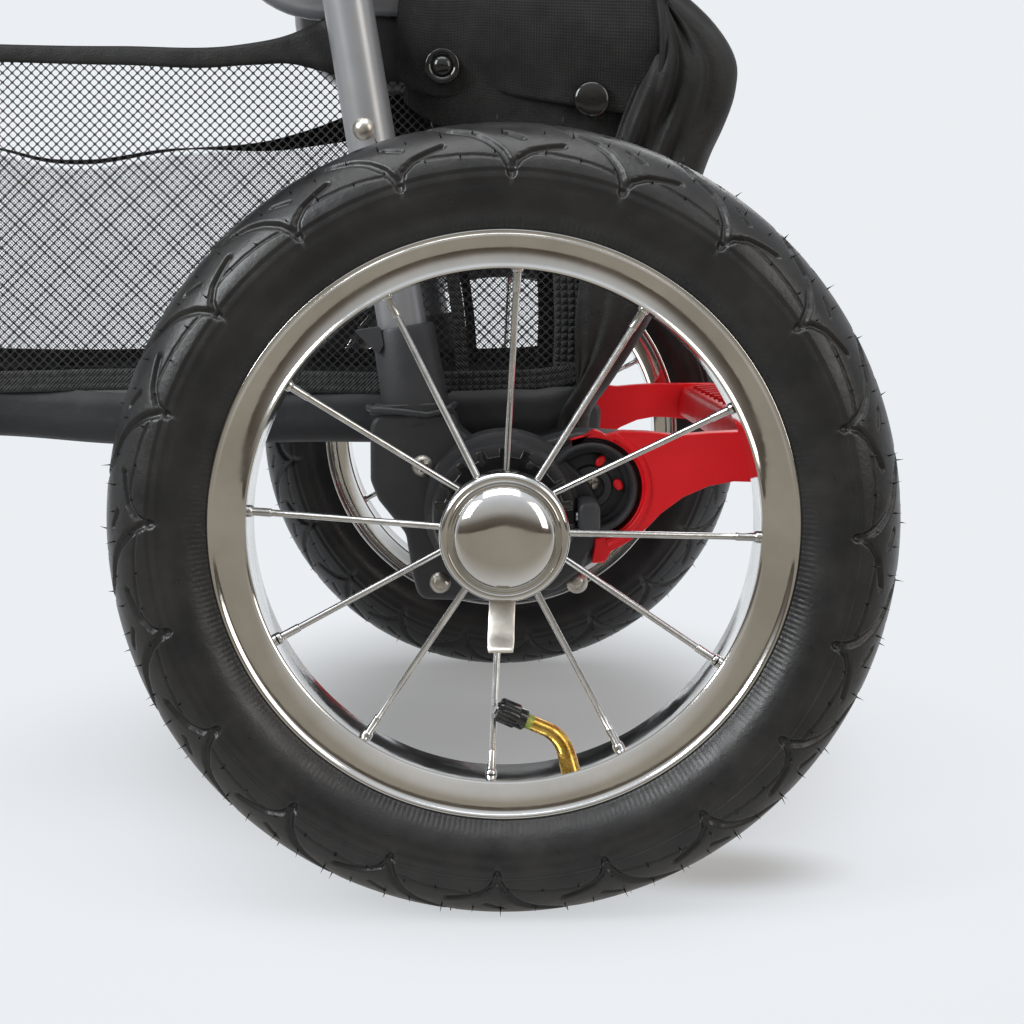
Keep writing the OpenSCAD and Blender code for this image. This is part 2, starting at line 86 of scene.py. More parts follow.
AXLE = Vector(joint("left_wheel_spin")["pos_m"])          # centre of the left rear wheel
FRONT = Vector(joint("front_wheel_spin")["pos_m"])        # centre of the front wheel
HINGE = Vector(joint("handle_fold")["pos_m"])             # main folding hinge
BOSS = Vector(joint("brake_press")["pos_m"])              # pivot of the brake bar
BACK = Vector(joint("recline")["pos_m"])                  # pivot of the backrest
BUMPER = Vector(joint("bumper_swing")["pos_m"])


def from_axle(x, y, z):
    """A point given in mm: x from the middle plane, y behind the rear axle, z above the floor."""
    return Vector((x * MM, AXLE.y + y * MM, z * MM))


# ---------------------------------------------------------------- camera, floor and light
def make_camera():
    data = bpy.data.cameras.new("camera")
    data.sensor_width = 36
    data.lens = 70.8
    data.clip_end = 60
    camera = bpy.data.objects.new("camera", data)
    bpy.context.collection.objects.link(camera)
    camera.location = AXLE + Vector((0.758, -0.0027, 0.088))
    pitch, yaw = math.radians(6.28), math.radians(0.43)
    aim = Vector((-math.cos(pitch) * math.cos(yaw), math.cos(pitch) * math.sin(yaw), -math.sin(pitch)))
    camera.rotation_euler = aim.to_track_quat("-Z", "Y").to_euler()
    bpy.context.scene.camera = camera


def area_light(name, place, aim, size, power, colour=(1, 1, 1)):
    data = bpy.data.lights.new(name, "AREA")
    data.shape = "RECTANGLE"
    data.size, data.size_y = size
    data.energy = power
    data.color = colour
    lamp = bpy.data.objects.new(name, data)
    bpy.context.collection.objects.link(lamp)
    lamp.location = place
    lamp.rotation_euler = (Vector(aim) - Vector(place)).to_track_quat("-Z", "Y").to_euler()


PALE = (0.831, 0.863, 0.896)


def mix_by(tree, factor, low, high):
    """Colour mix node; low and high are colours or sockets."""
    n = tree.nodes.new("ShaderNodeMix")
    n.data_type = "RGBA"
    tree.links.new(factor, n.inputs[0])
    for socket, value in ((n.inputs[6], low), (n.inputs[7], high)):
        if isinstance(value, tuple):
            socket.default_value = (*value, 1)
        else:
            tree.links.new(value, socket)
    return n.outputs[2]


def ranged(tree, source, low, high, to=(0, 1)):
    n = tree.nodes.new("ShaderNodeMapRange")
    n.interpolation_type = "SMOOTHSTEP"
    tree.links.new(source, n.inputs[0])
    for i, v in enumerate((low, high, *to)):
        n.inputs[i + 1].default_value = v
    return n.outputs[0]


def make_world():
    """Seen directly the world is plain and pale.

    Surfaces are lit by a soft room that is darker behind the camera.
    """
    world = bpy.data.worlds.new("studio")
    bpy.context.scene.world = world
    world.use_nodes = True
    tree = world.node_tree
    background = tree.nodes["Background"]
    where = tree.nodes.new("ShaderNodeTexCoord")
    split = tree.nodes.new("ShaderNodeSeparateXYZ")
    tree.links.new(where.outputs["Generated"], split.inputs[0])
    x, _, z = split.outputs
    ramp = tree.nodes.new("ShaderNodeValToRGB")
    stops = ((0.0, (0.40, 0.38, 0.35)), (0.46, (0.22, 0.19, 0.15)), (0.50, (0.07, 0.058, 0.045)),
             (0.56, (0.13, 0.11, 0.09)),
             (0.64, (0.40, 0.385, 0.36)), (0.78, (0.52, 0.53, 0.54)), (0.92, (0.74, 0.76, 0.79)))
    ramp.color_ramp.elements[0].position, ramp.color_ramp.elements[0].color = stops[0][0], (*stops[0][1], 1)
    ramp.color_ramp.elements[1].position, ramp.color_ramp.elements[1].color = stops[-1][0], (*stops[-1][1], 1)
    for at, colour in stops[1:-1]:
        e = ramp.color_ramp.elements.new(at)
        e.color = (*colour, 1)
    high = tree.nodes.new("ShaderNodeMapRange")
    tree.links.new(z, high.inputs[0])
    high.inputs[1].default_value = -1
    tree.links.new(high.outputs[0], ramp.inputs[0])
    room = mix_by(tree, ranged(tree, x, -0.25, 0.35), (0.62, 0.64, 0.66), ramp.outputs[0])
    path = tree.nodes.new("ShaderNodeLightPath")
    colour = mix_by(tree, path.outputs["Is Camera Ray"], room, PALE)
    tree.links.new(colour, background.inputs["Color"])


def make_floor():
    floor = bpy.data.meshes.new("floor")
    ring = [(9 * math.cos(a), 9 * math.sin(a), 0) for a in np.linspace(0, 2 * math.pi, 64, endpoint=False)]
    floor.from_pydata(ring, [], [list(range(64))])
    obj = bpy.data.objects.new("floor", floor)
    bpy.context.collection.objects.link(obj)
    m = bpy.data.materials.new("floor_paint")
    m.use_nodes = True
    tree = m.node_tree
    tree.nodes.clear()
    out = tree.nodes.new("ShaderNodeOutputMaterial")
    where = tree.nodes.new("ShaderNodeTexCoord")

    def reach(middle, size):
        n = tree.nodes.new("ShaderNodeVectorMath")
        n.operation = "SUBTRACT"
        tree.links.new(where.outputs["Object"], n.inputs[0])
        n.inputs[1].default_value = middle
        k = tree.nodes.new("ShaderNodeVectorMath")
        k.operation = "MULTIPLY"
        tree.links.new(n.outputs[0], k.inputs[0])
        k.inputs[1].default_value = (1 / size[0], 1 / size[1], 0)
        length = tree.nodes.new("ShaderNodeVectorMath")
        length.operation = "LENGTH"
        tree.links.new(k.outputs[0], length.inputs[0])
        return length.outputs["Value"]

    # the floor glows with the background's tone, with painted shade darkening the glow under the rear axle, and takes
    # real shadow only round the wheels
    shade = mix_by(tree, ranged(tree, reach((-0.10, AXLE.y, 0), (0.42, 0.19)), 0.25, 1.1),
                   (0.36, 0.36, 0.355), PALE)
    # a painted soft shadow to the right of the near tyre
    shade = mix_by(tree, ranged(tree, reach((0.205, AXLE.y + 0.088, 0), (0.045, 0.062)), 0.15, 1.05),
                   (0.42, 0.41, 0.39), shade)
    # chrome sees a floor that is greyer and warmer in front of the camera's side
    split = tree.nodes.new("ShaderNodeSeparateXYZ")
    tree.links.new(where.outputs["Object"], split.inputs[0])
    seen = mix_by(tree, ranged(tree, split.outputs[0], 0.26, 0.62), (0.50, 0.48, 0.45), (0.30, 0.27, 0.22))
    path = tree.nodes.new("ShaderNodeLightPath")
    near = mix_by(tree, ranged(tree, split.outputs[0], -0.1, 0.3), shade, seen)
    shade = mix_by(tree, path.outputs["Is Glossy Ray"], shade, near)
    glow = tree.nodes.new("ShaderNodeEmission")
    tree.links.new(shade, glow.inputs["Color"])
    paint = tree.nodes.new("ShaderNodeBsdfDiffuse")
    paint.inputs["Color"].default_value = (0.66, 0.685, 0.71, 1)
    mix = tree.nodes.new("ShaderNodeMixShader")
    share = ranged(tree, reach((0.0, AXLE.y, 0), (0.5, 0.34)), 0.2, 1.0, (0.4, 0.0))
    tree.links.new(share, mix.inputs[0])
    tree.links.new(glow.outputs[0], mix.inputs[1])
    tree.links.new(paint.outputs[0], mix.inputs[2])
    tree.links.new(mix.outputs[0], out.inputs[0])
    floor.materials.append(m)


def make_studio():
    bpy.context.scene.view_settings.view_transform = "Standard"
    make_world()
    make_floor()
    area_light("key", (1.15, AXLE.y - 1.45, 1.2), AXLE, (0.9, 0.9), 26, (0.95, 0.98, 1))
    area_light("fill", (1.3, AXLE.y + 1.4, 0.9), AXLE, (0.7, 1.2), 7, (1, 0.94, 0.86))
    area_light("top", (0.5, AXLE.y - 0.2, 2.6), (0, AXLE.y - 0.2, 0), (2.2, 2.2), 42)
    area_light("back", (-2.2, 0.6, 1.8), (0, 0, 0.4), (1.6, 1.6), 20)


# ---------------------------------------------------------------- materials
class Surface:
    """A Principled material with procedural colour, roughness and bump. Sizes are in metres."""

    def __init__(self, name, dark, light, rough=(0.4, 0.5), metal=0.0, patch=0.03, **sockets):
        self.m = bpy.data.materials.new(name)
        self.m.use_nodes = True
        self.tree = self.m.node_tree
        self.shader = self.tree.nodes["Principled BSDF"]
        self.shader.inputs["Metallic"].default_value = metal
        for key, value in sockets.items():
            self.shader.inputs[key.replace("_", " ")].default_value = value
        self.where = self.tree.nodes.new("ShaderNodeTexCoord")
        cloud = self.noise(1 / patch, 5)
        self.ramp(cloud, (*dark, 1), (*light, 1), "Base Color")
        spread = self.tree.nodes.new("ShaderNodeMapRange")
        self.tree.links.new(self.noise(2.3 / patch, 4), spread.inputs[0])
        spread.inputs[1].default_value, spread.inputs[2].default_value = 0.3, 0.7
        spread.inputs[3].default_value, spread.inputs[4].default_value = rough
        self.tree.links.new(spread.outputs[0], self.shader.inputs["Roughness"])
        self.last_bump = None

    def noise(self, scale, detail=3, rough=0.55):
        n = self.tree.nodes.new("ShaderNodeTexNoise")
        n.inputs["Scale"].default_value = scale
        n.inputs["Detail"].default_value = detail
        n.inputs["Roughness"].default_value = rough
        self.tree.links.new(self.where.outputs["Object"], n.inputs["Vector"])
        return n.outputs[0]

    def ramp(self, source, low, high, socket, at=(0.35, 0.65)):
        r = self.tree.nodes.new("ShaderNodeValToRGB")
        r.color_ramp.elements[0].position, r.color_ramp.elements[1].position = at
        r.color_ramp.elements[0].color, r.color_ramp.elements[1].color = low, high
        self.tree.links.new(source, r.inputs[0])
        self.tree.links.new(r.outputs[0], self.shader.inputs[socket])
        return r

    def math(self, op, a, b=None):
        n = self.tree.nodes.new("ShaderNodeMath")
        n.operation = op
        for i, v in enumerate((a, b)):
            if v is None:
                continue
            if isinstance(v, (int, float)):
                n.inputs[i].default_value = v
            else:
                self.tree.links.new(v, n.inputs[i])
        return n.outputs[0]

    def bump(self, height, depth):
        b = self.tree.nodes.new("ShaderNodeBump")
        b.inputs["Strength"].default_value = 1
        b.inputs["Distance"].default_value = depth
        self.tree.links.new(height, b.inputs["Height"])
        if self.last_bump:
            self.tree.links.new(self.last_bump, b.inputs["Normal"])
        self.last_bump = b.outputs[0]
        self.tree.links.new(self.last_bump, self.shader.inputs["Normal"])
        return self

    def grain(self, size, depth, detail=3):
        return self.bump(self.noise(1 / size, detail), depth)

    def cells(self, size, depth):
        v = self.tree.nodes.new("ShaderNodeTexVoronoi")
        v.inputs["Scale"].default_value = 1 / size
        self.tree.links.new(self.where.outputs["Object"], v.inputs["Vector"])
        return self.bump(v.outputs["Distance"], depth)

    def split(self, space):
        s = self.tree.nodes.new("ShaderNodeSeparateXYZ")
        self.tree.links.new(self.where.outputs[space], s.inputs[0])
        return s.outputs

    def weave(self, pitch, depth, space="UV"):
        """A plain weave of pitch metres, over UVs in metres or over object space."""
        s = self.split(space)
        if space == "UV":
            a, b = s[0], s[1]
        else:
            a = self.math("ADD", s[0], self.math("MULTIPLY", s[1], 0.6))
            b = self.math("ADD", s[2], self.math("MULTIPLY", s[1], 0.8))
        k = math.pi / pitch
        wave = self.math("MULTIPLY", self.math("SINE", self.math("MULTIPLY", a, k)),
                         self.math("SINE", self.math("MULTIPLY", b, k)))
        fine = self.math("MULTIPLY", self.math("SINE",
                                               self.math("MULTIPLY", self.math("ADD", a, b), 4 * k)), 0.25)
        height = self.math("ADD", self.math("MULTIPLY", self.math("ABSOLUTE", wave), 1.0), fine)
        return self.bump(height, depth)

    def ribs(self, pitch, depth, axis=0, space="UV"):
        s = self.split(space)
        wave = self.math("SINE", self.math("MULTIPLY", s[axis], 2 * math.pi / pitch))
        return self.bump(wave, depth)


def make_materials():
    made = {}

    def keep(name, surface):
        made[name] = surface.m

    keep("tyre", Surface("tyre_rubber", (0.010, 0.010, 0.011), (0.020, 0.0195, 0.019), (0.28, 0.42),
                         patch=0.02,
                         Specular_IOR_Level=0.5)
         .grain(0.0022, 0.00012).grain(0.0006, 0.00004))
    keep("chrome", Surface("chrome_plate", (0.70, 0.70, 0.69), (0.84, 0.84, 0.83), (0.05, 0.14), metal=1.0,
                           patch=0.035)
         .grain(0.012, 0.00006, 2))
    keep("spoke", Surface("spoke_steel", (0.6, 0.6, 0.6), (0.78, 0.78, 0.77), (0.12, 0.24), metal=1.0,
                          patch=0.01)
         .grain(0.002, 0.00003))
    keep("nickel", Surface("satin_nickel", (0.5, 0.47, 0.42), (0.64, 0.61, 0.56), (0.3, 0.42), metal=1.0,
                           patch=0.006)
         .grain(0.0012, 0.00003))
    keep("steel", Surface("zinc_steel", (0.42, 0.42, 0.43), (0.6, 0.6, 0.6), (0.25, 0.4), metal=1.0,
                          patch=0.008)
         .grain(0.001, 0.00003))
    keep("brass", Surface("brass", (0.55, 0.33, 0.06), (0.78, 0.52, 0.14), (0.16, 0.34), metal=1.0,
                          patch=0.004)
         .grain(0.0012, 0.00006))
    keep("verdigris", Surface("green_brass", (0.18, 0.3, 0.08), (0.6, 0.55, 0.12), (0.4, 0.6), metal=0.6,
                              patch=0.002)
         .grain(0.0008, 0.00008))
    keep("silver", Surface("silver_paint", (0.36, 0.365, 0.38), (0.41, 0.415, 0.43), (0.3, 0.38),
                           metal=0.55, patch=0.05,
                           Coat_Weight=0.25, Coat_Roughness=0.2).grain(0.0007, 0.000015).grain(0.006,
                                   0.00003))
    keep("plastic", Surface("black_plastic", (0.036, 0.037, 0.040), (0.050, 0.051, 0.055), (0.38, 0.50),
                            patch=0.03,
                            Specular_IOR_Level=0.5)
         .cells(0.0009, 0.00005).grain(0.0004, 0.00003))
    keep("gloss_black", Surface("gloss_black", (0.008, 0.008, 0.008), (0.014, 0.014, 0.014), (0.07, 0.16),
                                patch=0.01,
                                Coat_Weight=0.5).grain(0.004, 0.00004))
    keep("red", Surface("red_plastic", (0.80, 0.008, 0.014), (0.92, 0.014, 0.020), (0.28, 0.38), patch=0.04,
                        Specular_IOR_Level=0.3).grain(0.0016, 0.00003).grain(0.02, 0.0002))
    keep("polyester", Surface("woven_polyester", (0.009, 0.009, 0.009), (0.019, 0.0185, 0.018), (0.6, 0.78),
                              patch=0.012,
                              Specular_IOR_Level=0.3, Sheen_Weight=0.06, Sheen_Roughness=0.5).weave(0.0012,
                                      0.00042).grain(0.02, 0.0008))
    keep("nylon", Surface("soft_nylon", (0.013, 0.013, 0.013), (0.022, 0.0215, 0.021), (0.48, 0.62),
                          patch=0.03,
                          Specular_IOR_Level=0.3, Sheen_Weight=0.04, Sheen_Roughness=0.4).cells(0.0007,
                                  0.00012).grain(0.03, 0.002))
    keep("padding", Surface("padded_polyester", (0.010, 0.010, 0.011), (0.020, 0.020, 0.021), (0.66, 0.82),
                            patch=0.02,
                            Specular_IOR_Level=0.25, Sheen_Weight=0.07, Sheen_Roughness=0.45).weave(0.0012,
                                    0.0003, "Object").grain(0.012, 0.0006))
    keep("net", Surface("net_yarn", (0.012, 0.012, 0.013), (0.022, 0.022, 0.023), (0.55, 0.7), patch=0.01)
         .grain(0.0005, 0.0001))
    keep("webbing", Surface("webbing", (0.012, 0.012, 0.012), (0.022, 0.022, 0.022), (0.6, 0.75), patch=0.01,
                            Sheen_Weight=0.05).ribs(0.0022, 0.0004, 1).grain(0.0006, 0.0001))
    keep("webbing_coarse", Surface("coarse_webbing", (0.006, 0.006, 0.006), (0.03, 0.03, 0.03),
                                   (0.55, 0.75), patch=0.0022,
                                   Sheen_Weight=0.05).weave(0.0030, 0.0011))
    keep("base_panel", Surface("base_cloth", (0.014, 0.0145, 0.016), (0.026, 0.027, 0.029), (0.45, 0.6),
                               patch=0.05,
                               Specular_IOR_Level=0.35, Sheen_Weight=0.04).grain(0.0012,
                                       0.00008).grain(0.03, 0.0015))
    keep("foam", Surface("grip_foam", (0.016, 0.016, 0.016), (0.026, 0.026, 0.026), (0.75, 0.9), patch=0.01)
         .cells(0.0012, 0.0003))
    return made


# ---------------------------------------------------------------- mesh building
def new_piece(name, verts, faces, mat, smooth=True, uv=None, crease=None):
    mesh = bpy.data.meshes.new(name)
    mesh.from_pydata([tuple(v) for v in verts], [], faces)
    mesh.update()
    mesh.materials.append(MATS[mat])
    if smooth:
        mesh.shade_smooth()
    if uv is not None:
        layer = mesh.uv_layers.new(name="metres")
        loops = np.empty(len(mesh.loops), np.int32)
        mesh.loops.foreach_get("vertex_index", loops)
        layer.data.foreach_set("uv", np.asarray(uv, np.float32)[loops].ravel())
    obj = bpy.data.objects.new(name, mesh)
    bpy.context.collection.objects.link(obj)
    if crease is not None:
        mesh.set_sharp_from_angle(angle=math.radians(crease))
    return obj


def grid_faces(rows, cols, wrap_rows=False, wrap_cols=False, start=0):
    """Quads over a rows by cols grid of vertices."""
    faces = []
    for i in range(rows if wrap_rows else rows - 1):
        for j in range(cols if wrap_cols else cols - 1):
            a, b = i * cols + j, i * cols + (j + 1) % cols
            c, d = ((i + 1) % rows) * cols + (j + 1) % cols, ((i + 1) % rows) * cols + j
            faces.append((start + a, start + b, start + c, start + d))
    return faces


def lathe(name, profile, mat, centre, steps=160, crease=32, body=None):
    """Turns a closed profile of (x, radius) in mm about the X axis through centre."""
    profile = np.asarray(profile, float) * MM
    turn = np.linspace(0, 2 * math.pi, steps, endpoint=False)
    x = np.tile(profile[:, 0], (steps, 1))
    y = np.outer(np.cos(turn), profile[:, 1])
    z = np.outer(np.sin(turn), profile[:, 1])
    verts = np.stack([x + centre[0], y + centre[1], z + centre[2]], -1).reshape(-1, 3)
    obj = new_piece(name, verts, grid_faces(steps, len(profile), True, True), mat, crease=crease)
    if body:
        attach(obj, body)
    return obj


def frames(points):
    """Two unit vectors across a path at each of its points, carried without twist."""
    p = np.asarray(points, float)
    t = np.gradient(p, axis=0)
    t /= np.linalg.norm(t, axis=1)[:, None]
    side = np.cross(t[0], (0, 0, 1) if abs(t[0][2]) < 0.9 else (1, 0, 0))
    out = []
    for direction in t:
        side = side - direction * (side @ direction)
        side /= np.linalg.norm(side)
        out.append((side.copy(), np.cross(direction, side)))
    return t, out


def sweep_data(points, radii, sides=16, closed=False, squash=(1, 1)):
    p = np.asarray(points, float)
    radii = np.broadcast_to(np.asarray(radii, float), len(p))
    turn = np.linspace(0, 2 * math.pi, sides, endpoint=False)
    _, across = frames(p)
    verts = [p[k] + radii[k] * (squash[0] * math.cos(a) * across[k][0]
                                + squash[1] * math.sin(a) * across[k][1])
             for k in range(len(p)) for a in turn]
    faces = grid_faces(len(p), sides, closed, True)
    if not closed:
        faces.append(tuple(range(sides - 1, -1, -1)))
        faces.append(tuple(len(verts) - sides + j for j in range(sides)))
    return verts, faces


def sweep(name, points, radii, mat, body=None, sides=16, closed=False, crease=40, squash=(1, 1)):
    verts, faces = sweep_data(points, radii, sides, closed, squash)
    obj = new_piece(name, verts, faces, mat, crease=crease)
    if body:
        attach(obj, body)
    return obj


def bent(points, bend_r, steps=14):
    """A path through points with each corner rounded to an arc of bend_r."""
    pts = [Vector(p) for p in points]
    out = [pts[0]]
    for before, corner, after in zip(pts, pts[1:], pts[2:]):
        u, v = (corner - before).normalized(), (after - corner).normalized()
        turn = u.angle(v)
        reach = bend_r * math.tan(turn / 2)
        inward = (v - u * u.dot(v)).normalized()
        centre = corner - u * reach + inward * bend_r
        for i in range(steps + 1):
            t = turn * i / steps
            out.append(centre + bend_r * (-inward * math.cos(t) + u * math.sin(t)))
    out.append(pts[-1])
    return out


def dense(points, step):
    """The same path with points no further than step apart."""
    out = [Vector(points[0])]
    for a, b in zip(points, points[1:]):
        a, b = Vector(a), Vector(b)
        n = max(1, math.ceil((b - a).length / step))
        out += [a.lerp(b, i / n) for i in range(1, n + 1)]
    return out


def plate(name, outline, x0, x1, mat, body=None, bevel=1.5, segments=3, crease=35):
    """An outline of (y, z) points, in metres, extruded across X from x0 to x1 with rounded edges."""
    verts, faces = [], []
    n = len(outline)
    for x in (x0, x1):
        verts += [(x, y, z) for y, z in outline]
    faces.append(tuple(range(n - 1, -1, -1)))
    faces.append(tuple(range(n, 2 * n)))
    faces += [(j, (j + 1) % n, n + (j + 1) % n, n + j) for j in range(n)]
    obj = new_piece(name, verts, faces, mat, smooth=False)
    fix_normals(obj)
    if bevel:
        mod = obj.modifiers.new("edge", "BEVEL")
        mod.width = bevel * MM
        mod.segments = segments
        mod.limit_method = "ANGLE"
        mod.angle_limit = math.radians(30)
        mod.harden_normals = False
    obj.data.shade_smooth()
    obj.data.set_sharp_from_angle(angle=math.radians(crease))
    if body:
        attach(obj, body)
    return obj


def fix_normals(obj):
    import bmesh
    b = bmesh.new()
    b.from_mesh(obj.data)
    bmesh.ops.recalc_face_normals(b, faces=b.faces)
    b.to_mesh(obj.data)
    b.free()


def join(name, parts):
    """Joins pieces of one body into one object."""
    with bpy.context.temp_override(active_object=parts[0], selected_editable_objects=parts,
                                   selected_objects=parts):
        bpy.ops.object.join()
    parts[0].name = name
    return parts[0]


def mirrored(obj, name, body):
    """A copy of a piece on the other side of the middle plane."""
    mesh = obj.data.copy()
    co = np.empty(len(mesh.vertices) * 3, np.float32)
    mesh.vertices.foreach_get("co", co)
    co[0::3] *= -1
    mesh.vertices.foreach_set("co", co)
    mesh.flip_normals()
    twin = bpy.data.objects.new(name, mesh)
    bpy.context.collection.objects.link(twin)
    for mod in obj.modifiers:
        if mod.type == "BEVEL":
            new = twin.modifiers.new(mod.name, "BEVEL")
            new.width, new.segments = mod.width, mod.segments
            new.limit_method, new.angle_limit = mod.limit_method, mod.angle_limit
    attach(twin, body)
    return twin


def shifted(obj, name, body, offset):
    mesh = obj.data.copy()
    mesh.transform(Matrix.Translation(offset))
    twin = bpy.data.objects.new(name, mesh)
    bpy.context.collection.objects.link(twin)
    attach(twin, body)
    return twin


MATS = make_materials()
make_camera()
make_studio()

# ---------------------------------------------------------------- tyre
SECTION, CENTRE_R = 23.5, 126.5          # section radius and its centre circle's radius, mm
PITCH = 18.0                             # degrees from one tread notch to the next


def ease(x):
    x = np.clip(x, 0, 1)
    return x * x * (3 - 2 * x)


def stroke(u, v, a, b):
    """Distance in mm from points (u, v) to the segment from a to b."""
    ax, ay, bx, by = *a, *b
    dx, dy = bx - ax, by - ay
    t = np.clip(((u - ax) * dx + (v - ay) * dy) / (dx * dx + dy * dy), 0, 1)
    return np.hypot(u - ax - t * dx, v - ay - t * dy)


# tread lines of one pitch: degrees round the wheel from the notch, degrees round the section,
# with width and depth in mm
RIGHT_LINE = [(0, 82), (0.5, 72), (1.6, 60), (3.6, 47), (5.6, 38), (9.0, 29), (12.0, 12), (12.6, 3)]
LEFT_LINE = [(0, 80), (-1.0, 68), (-3.0, 59), (-5.4, 54), (-7.6, 50)]
THIN_LINE = [(1.4, 67), (5.0, 63.5), (9.0, 61.5), (13.0, 60.5), (16.6, 62)]
SLOT_LINE = [(-1.6, 45), (0.9, 37)]
CROWN_LINE = [(4.5, 14), (6.5, 0)]


def tread_depth(theta, phi):
    """Depth of the tread at each point, in mm, from angles in degrees."""
    depth = np.zeros_like(theta)
    mm_round, mm_across = math.radians(1) * 138, math.radians(1) * SECTION
    for side in (1, -1):
        base = theta + (1.2 if side > 0 else 1.2 + PITCH / 2)
        u0 = (base + PITCH / 2) % PITCH - PITCH / 2
        v = phi * side * mm_across
        for line, width, deep in ((RIGHT_LINE, 1.35, 1.7), (LEFT_LINE, 1.2, 1.6), (THIN_LINE, 0.55, 0.55),
                                  (SLOT_LINE, 0.8, 1.3), (CROWN_LINE, 0.9, 1.2)):
            best = np.full_like(theta, 99.0)
            for lap in (-PITCH, 0, PITCH):
                for a, b in zip(line, line[1:]):
                    best = np.minimum(best,
                                      stroke((u0 - lap) * mm_round, v, (a[0] * mm_round, a[1] * mm_across),
                                                   (b[0] * mm_round, b[1] * mm_across)))
            depth = np.maximum(depth, deep * ease(1.35 - best / width))
        # the notch widens to a small V where its two lines meet
        tip = np.abs(u0) * mm_round - (v - 74 * mm_across) * 0.35
        inside = ease(1.0 - np.maximum(tip,
                                       0) / 1.2) * ease((v - 66 * mm_across) / 1.5) * ease((83 * mm_across - v) / 1.5)
        depth = np.maximum(depth, 1.9 * inside * (tip < 1.2))
    return depth


def tyre_angles(fine, mid, coarse):
    """Angles round the section, closest together where the tread is."""
    half = np.concatenate([np.linspace(0, 22, coarse, endpoint=False),
                           np.linspace(22, 86, fine, endpoint=False),
                           np.linspace(86, 132, mid)])
    return np.concatenate([-half[::-1], half[1:]])


def tyre_mesh(name, around, fine, mid, coarse):
    phi = tyre_angles(fine, mid, coarse)
    theta = np.linspace(0, 360, around, endpoint=False)
    t, p = np.meshgrid(theta, phi, indexing="ij")
    wall = np.abs(p)
    out = SECTION - tread_depth(t, p)
    # the tread ends in a small step, and two raised ribs run round the sidewall
    out -= 0.75 * ease((wall - 76) / 1.6) + 0.5 * np.exp(-((wall - 86.5) / 1.0) ** 2)
    for rib, height in ((90.5, 0.7), (97.0, 0.5), (118.0, 0.4)):
        out += height * np.exp(-((wall - rib) / 1.3) ** 2)
    out += 0.12 * (wall > 121) * np.sin(np.radians(t) * 360) * ease((wall - 121) / 2)
    out -= 0.9 * ease((wall - 104) / 22)
    out = np.minimum(out, SECTION - 0.02)
    pr, tr = np.radians(p), np.radians(t)
    x = out * np.sin(pr)
    radius = CENTRE_R + out * np.cos(pr)
    # beads reach into the rim
    bead = np.array([(11.6, 108.5), (11.6, 100.0), (-11.6, 100.0), (-11.6, 108.5)])
    x = np.concatenate([x, np.tile(bead[:, 0], (around, 1))], 1)
    radius = np.concatenate([radius, np.tile(bead[:, 1], (around, 1))], 1)
    tr = np.radians(np.tile(theta[:, None], (1, x.shape[1])))
    verts = np.stack([x, -radius * np.sin(tr), radius * np.cos(tr)], -1).reshape(-1, 3) * MM
    verts += np.array(AXLE)
    obj = new_piece(name, verts, grid_faces(around, x.shape[1], True, True), "tyre")
    fix_normals(obj)
    return obj


def hairs(name):
    """Moulding hairs: thin tapered whiskers along the crown edges, the thin line and the sidewall."""
    rng = random.Random(11)
    verts, faces = [], []
    rows = [(36, 4.6, 0.3), (-36, 4.6, 2.0), (62, 5.6, 1.2), (-62, 5.6, 3.0), (101, 30, 9), (-101, 30, 4),
            (4, 9, 0.7)]
    for phi, step, first in rows:
        for k in range(int(360 / step)):
            t = math.radians(first + k * step + rng.uniform(-0.5, 0.5))
            p = math.radians(phi + rng.uniform(-1.5, 1.5))
            normal = Vector((math.sin(p), -math.cos(p) * math.sin(t), math.cos(p) * math.cos(t)))
            foot = Vector((0, -math.sin(t) * CENTRE_R, math.cos(t) * CENTRE_R)) + normal * (SECTION - 0.2)
            lean = Vector((rng.uniform(-0.25, 0.25), rng.uniform(-0.3, 0.3), rng.uniform(-0.3, 0.3)))
            high = rng.uniform(2.0, 4.2) if abs(phi) < 90 else 1.2
            tip = foot + (normal + lean).normalized() * high
            side = normal.orthogonal().normalized()
            other = normal.cross(side)
            base = len(verts)
            for radius, place in ((0.42, foot), (0.22, foot.lerp(tip, 0.45))):
                for c in range(4):
                    a = c * math.pi / 2
                    verts.append((place + radius * (side * math.cos(a) + other * math.sin(a))) * MM + AXLE)
            verts.append(tip * MM + AXLE)
            for c in range(4):
                d = (c + 1) % 4
                faces += [(base + c, base + d, base + 4 + d, base + 4 + c),
                          (base + 4 + c, base + 4 + d, base + 8)]
            faces.append((base + 3, base + 2, base + 1, base))
    return new_piece(name, verts, faces, "tyre")


# ---------------------------------------------------------------- rim, spokes and hub
def rim_piece(name):
    half = [(14.0, 98.2), (14.15, 97.0), (14.6, 96.4), (14.9, 96.9), (14.6, 97.6), (14.2, 98.4), (14.1, 103),
            (14.1, 107.4), (14.4, 108.2), (15.0, 108.8), (15.5, 109.6), (15.3, 110.4), (14.6, 110.9),
            (13.6, 110.6),
            (12.9, 109.6), (12.6, 107.5), (12.6, 99.5)]
    left = [(-x, r) for x, r in reversed(half)]
    floor_out = [(8.0, 98.6), (0, 98.9), (-8.0, 98.6)]
    floor_in = [(-13.4, 96.2), (-9.0, 96.5), (0, 96.8), (9.0, 96.5), (13.4, 96.2)]
    profile = half + floor_out + left + floor_in
    return lathe(name, profile, "chrome", AXLE, steps=256, crease=50)


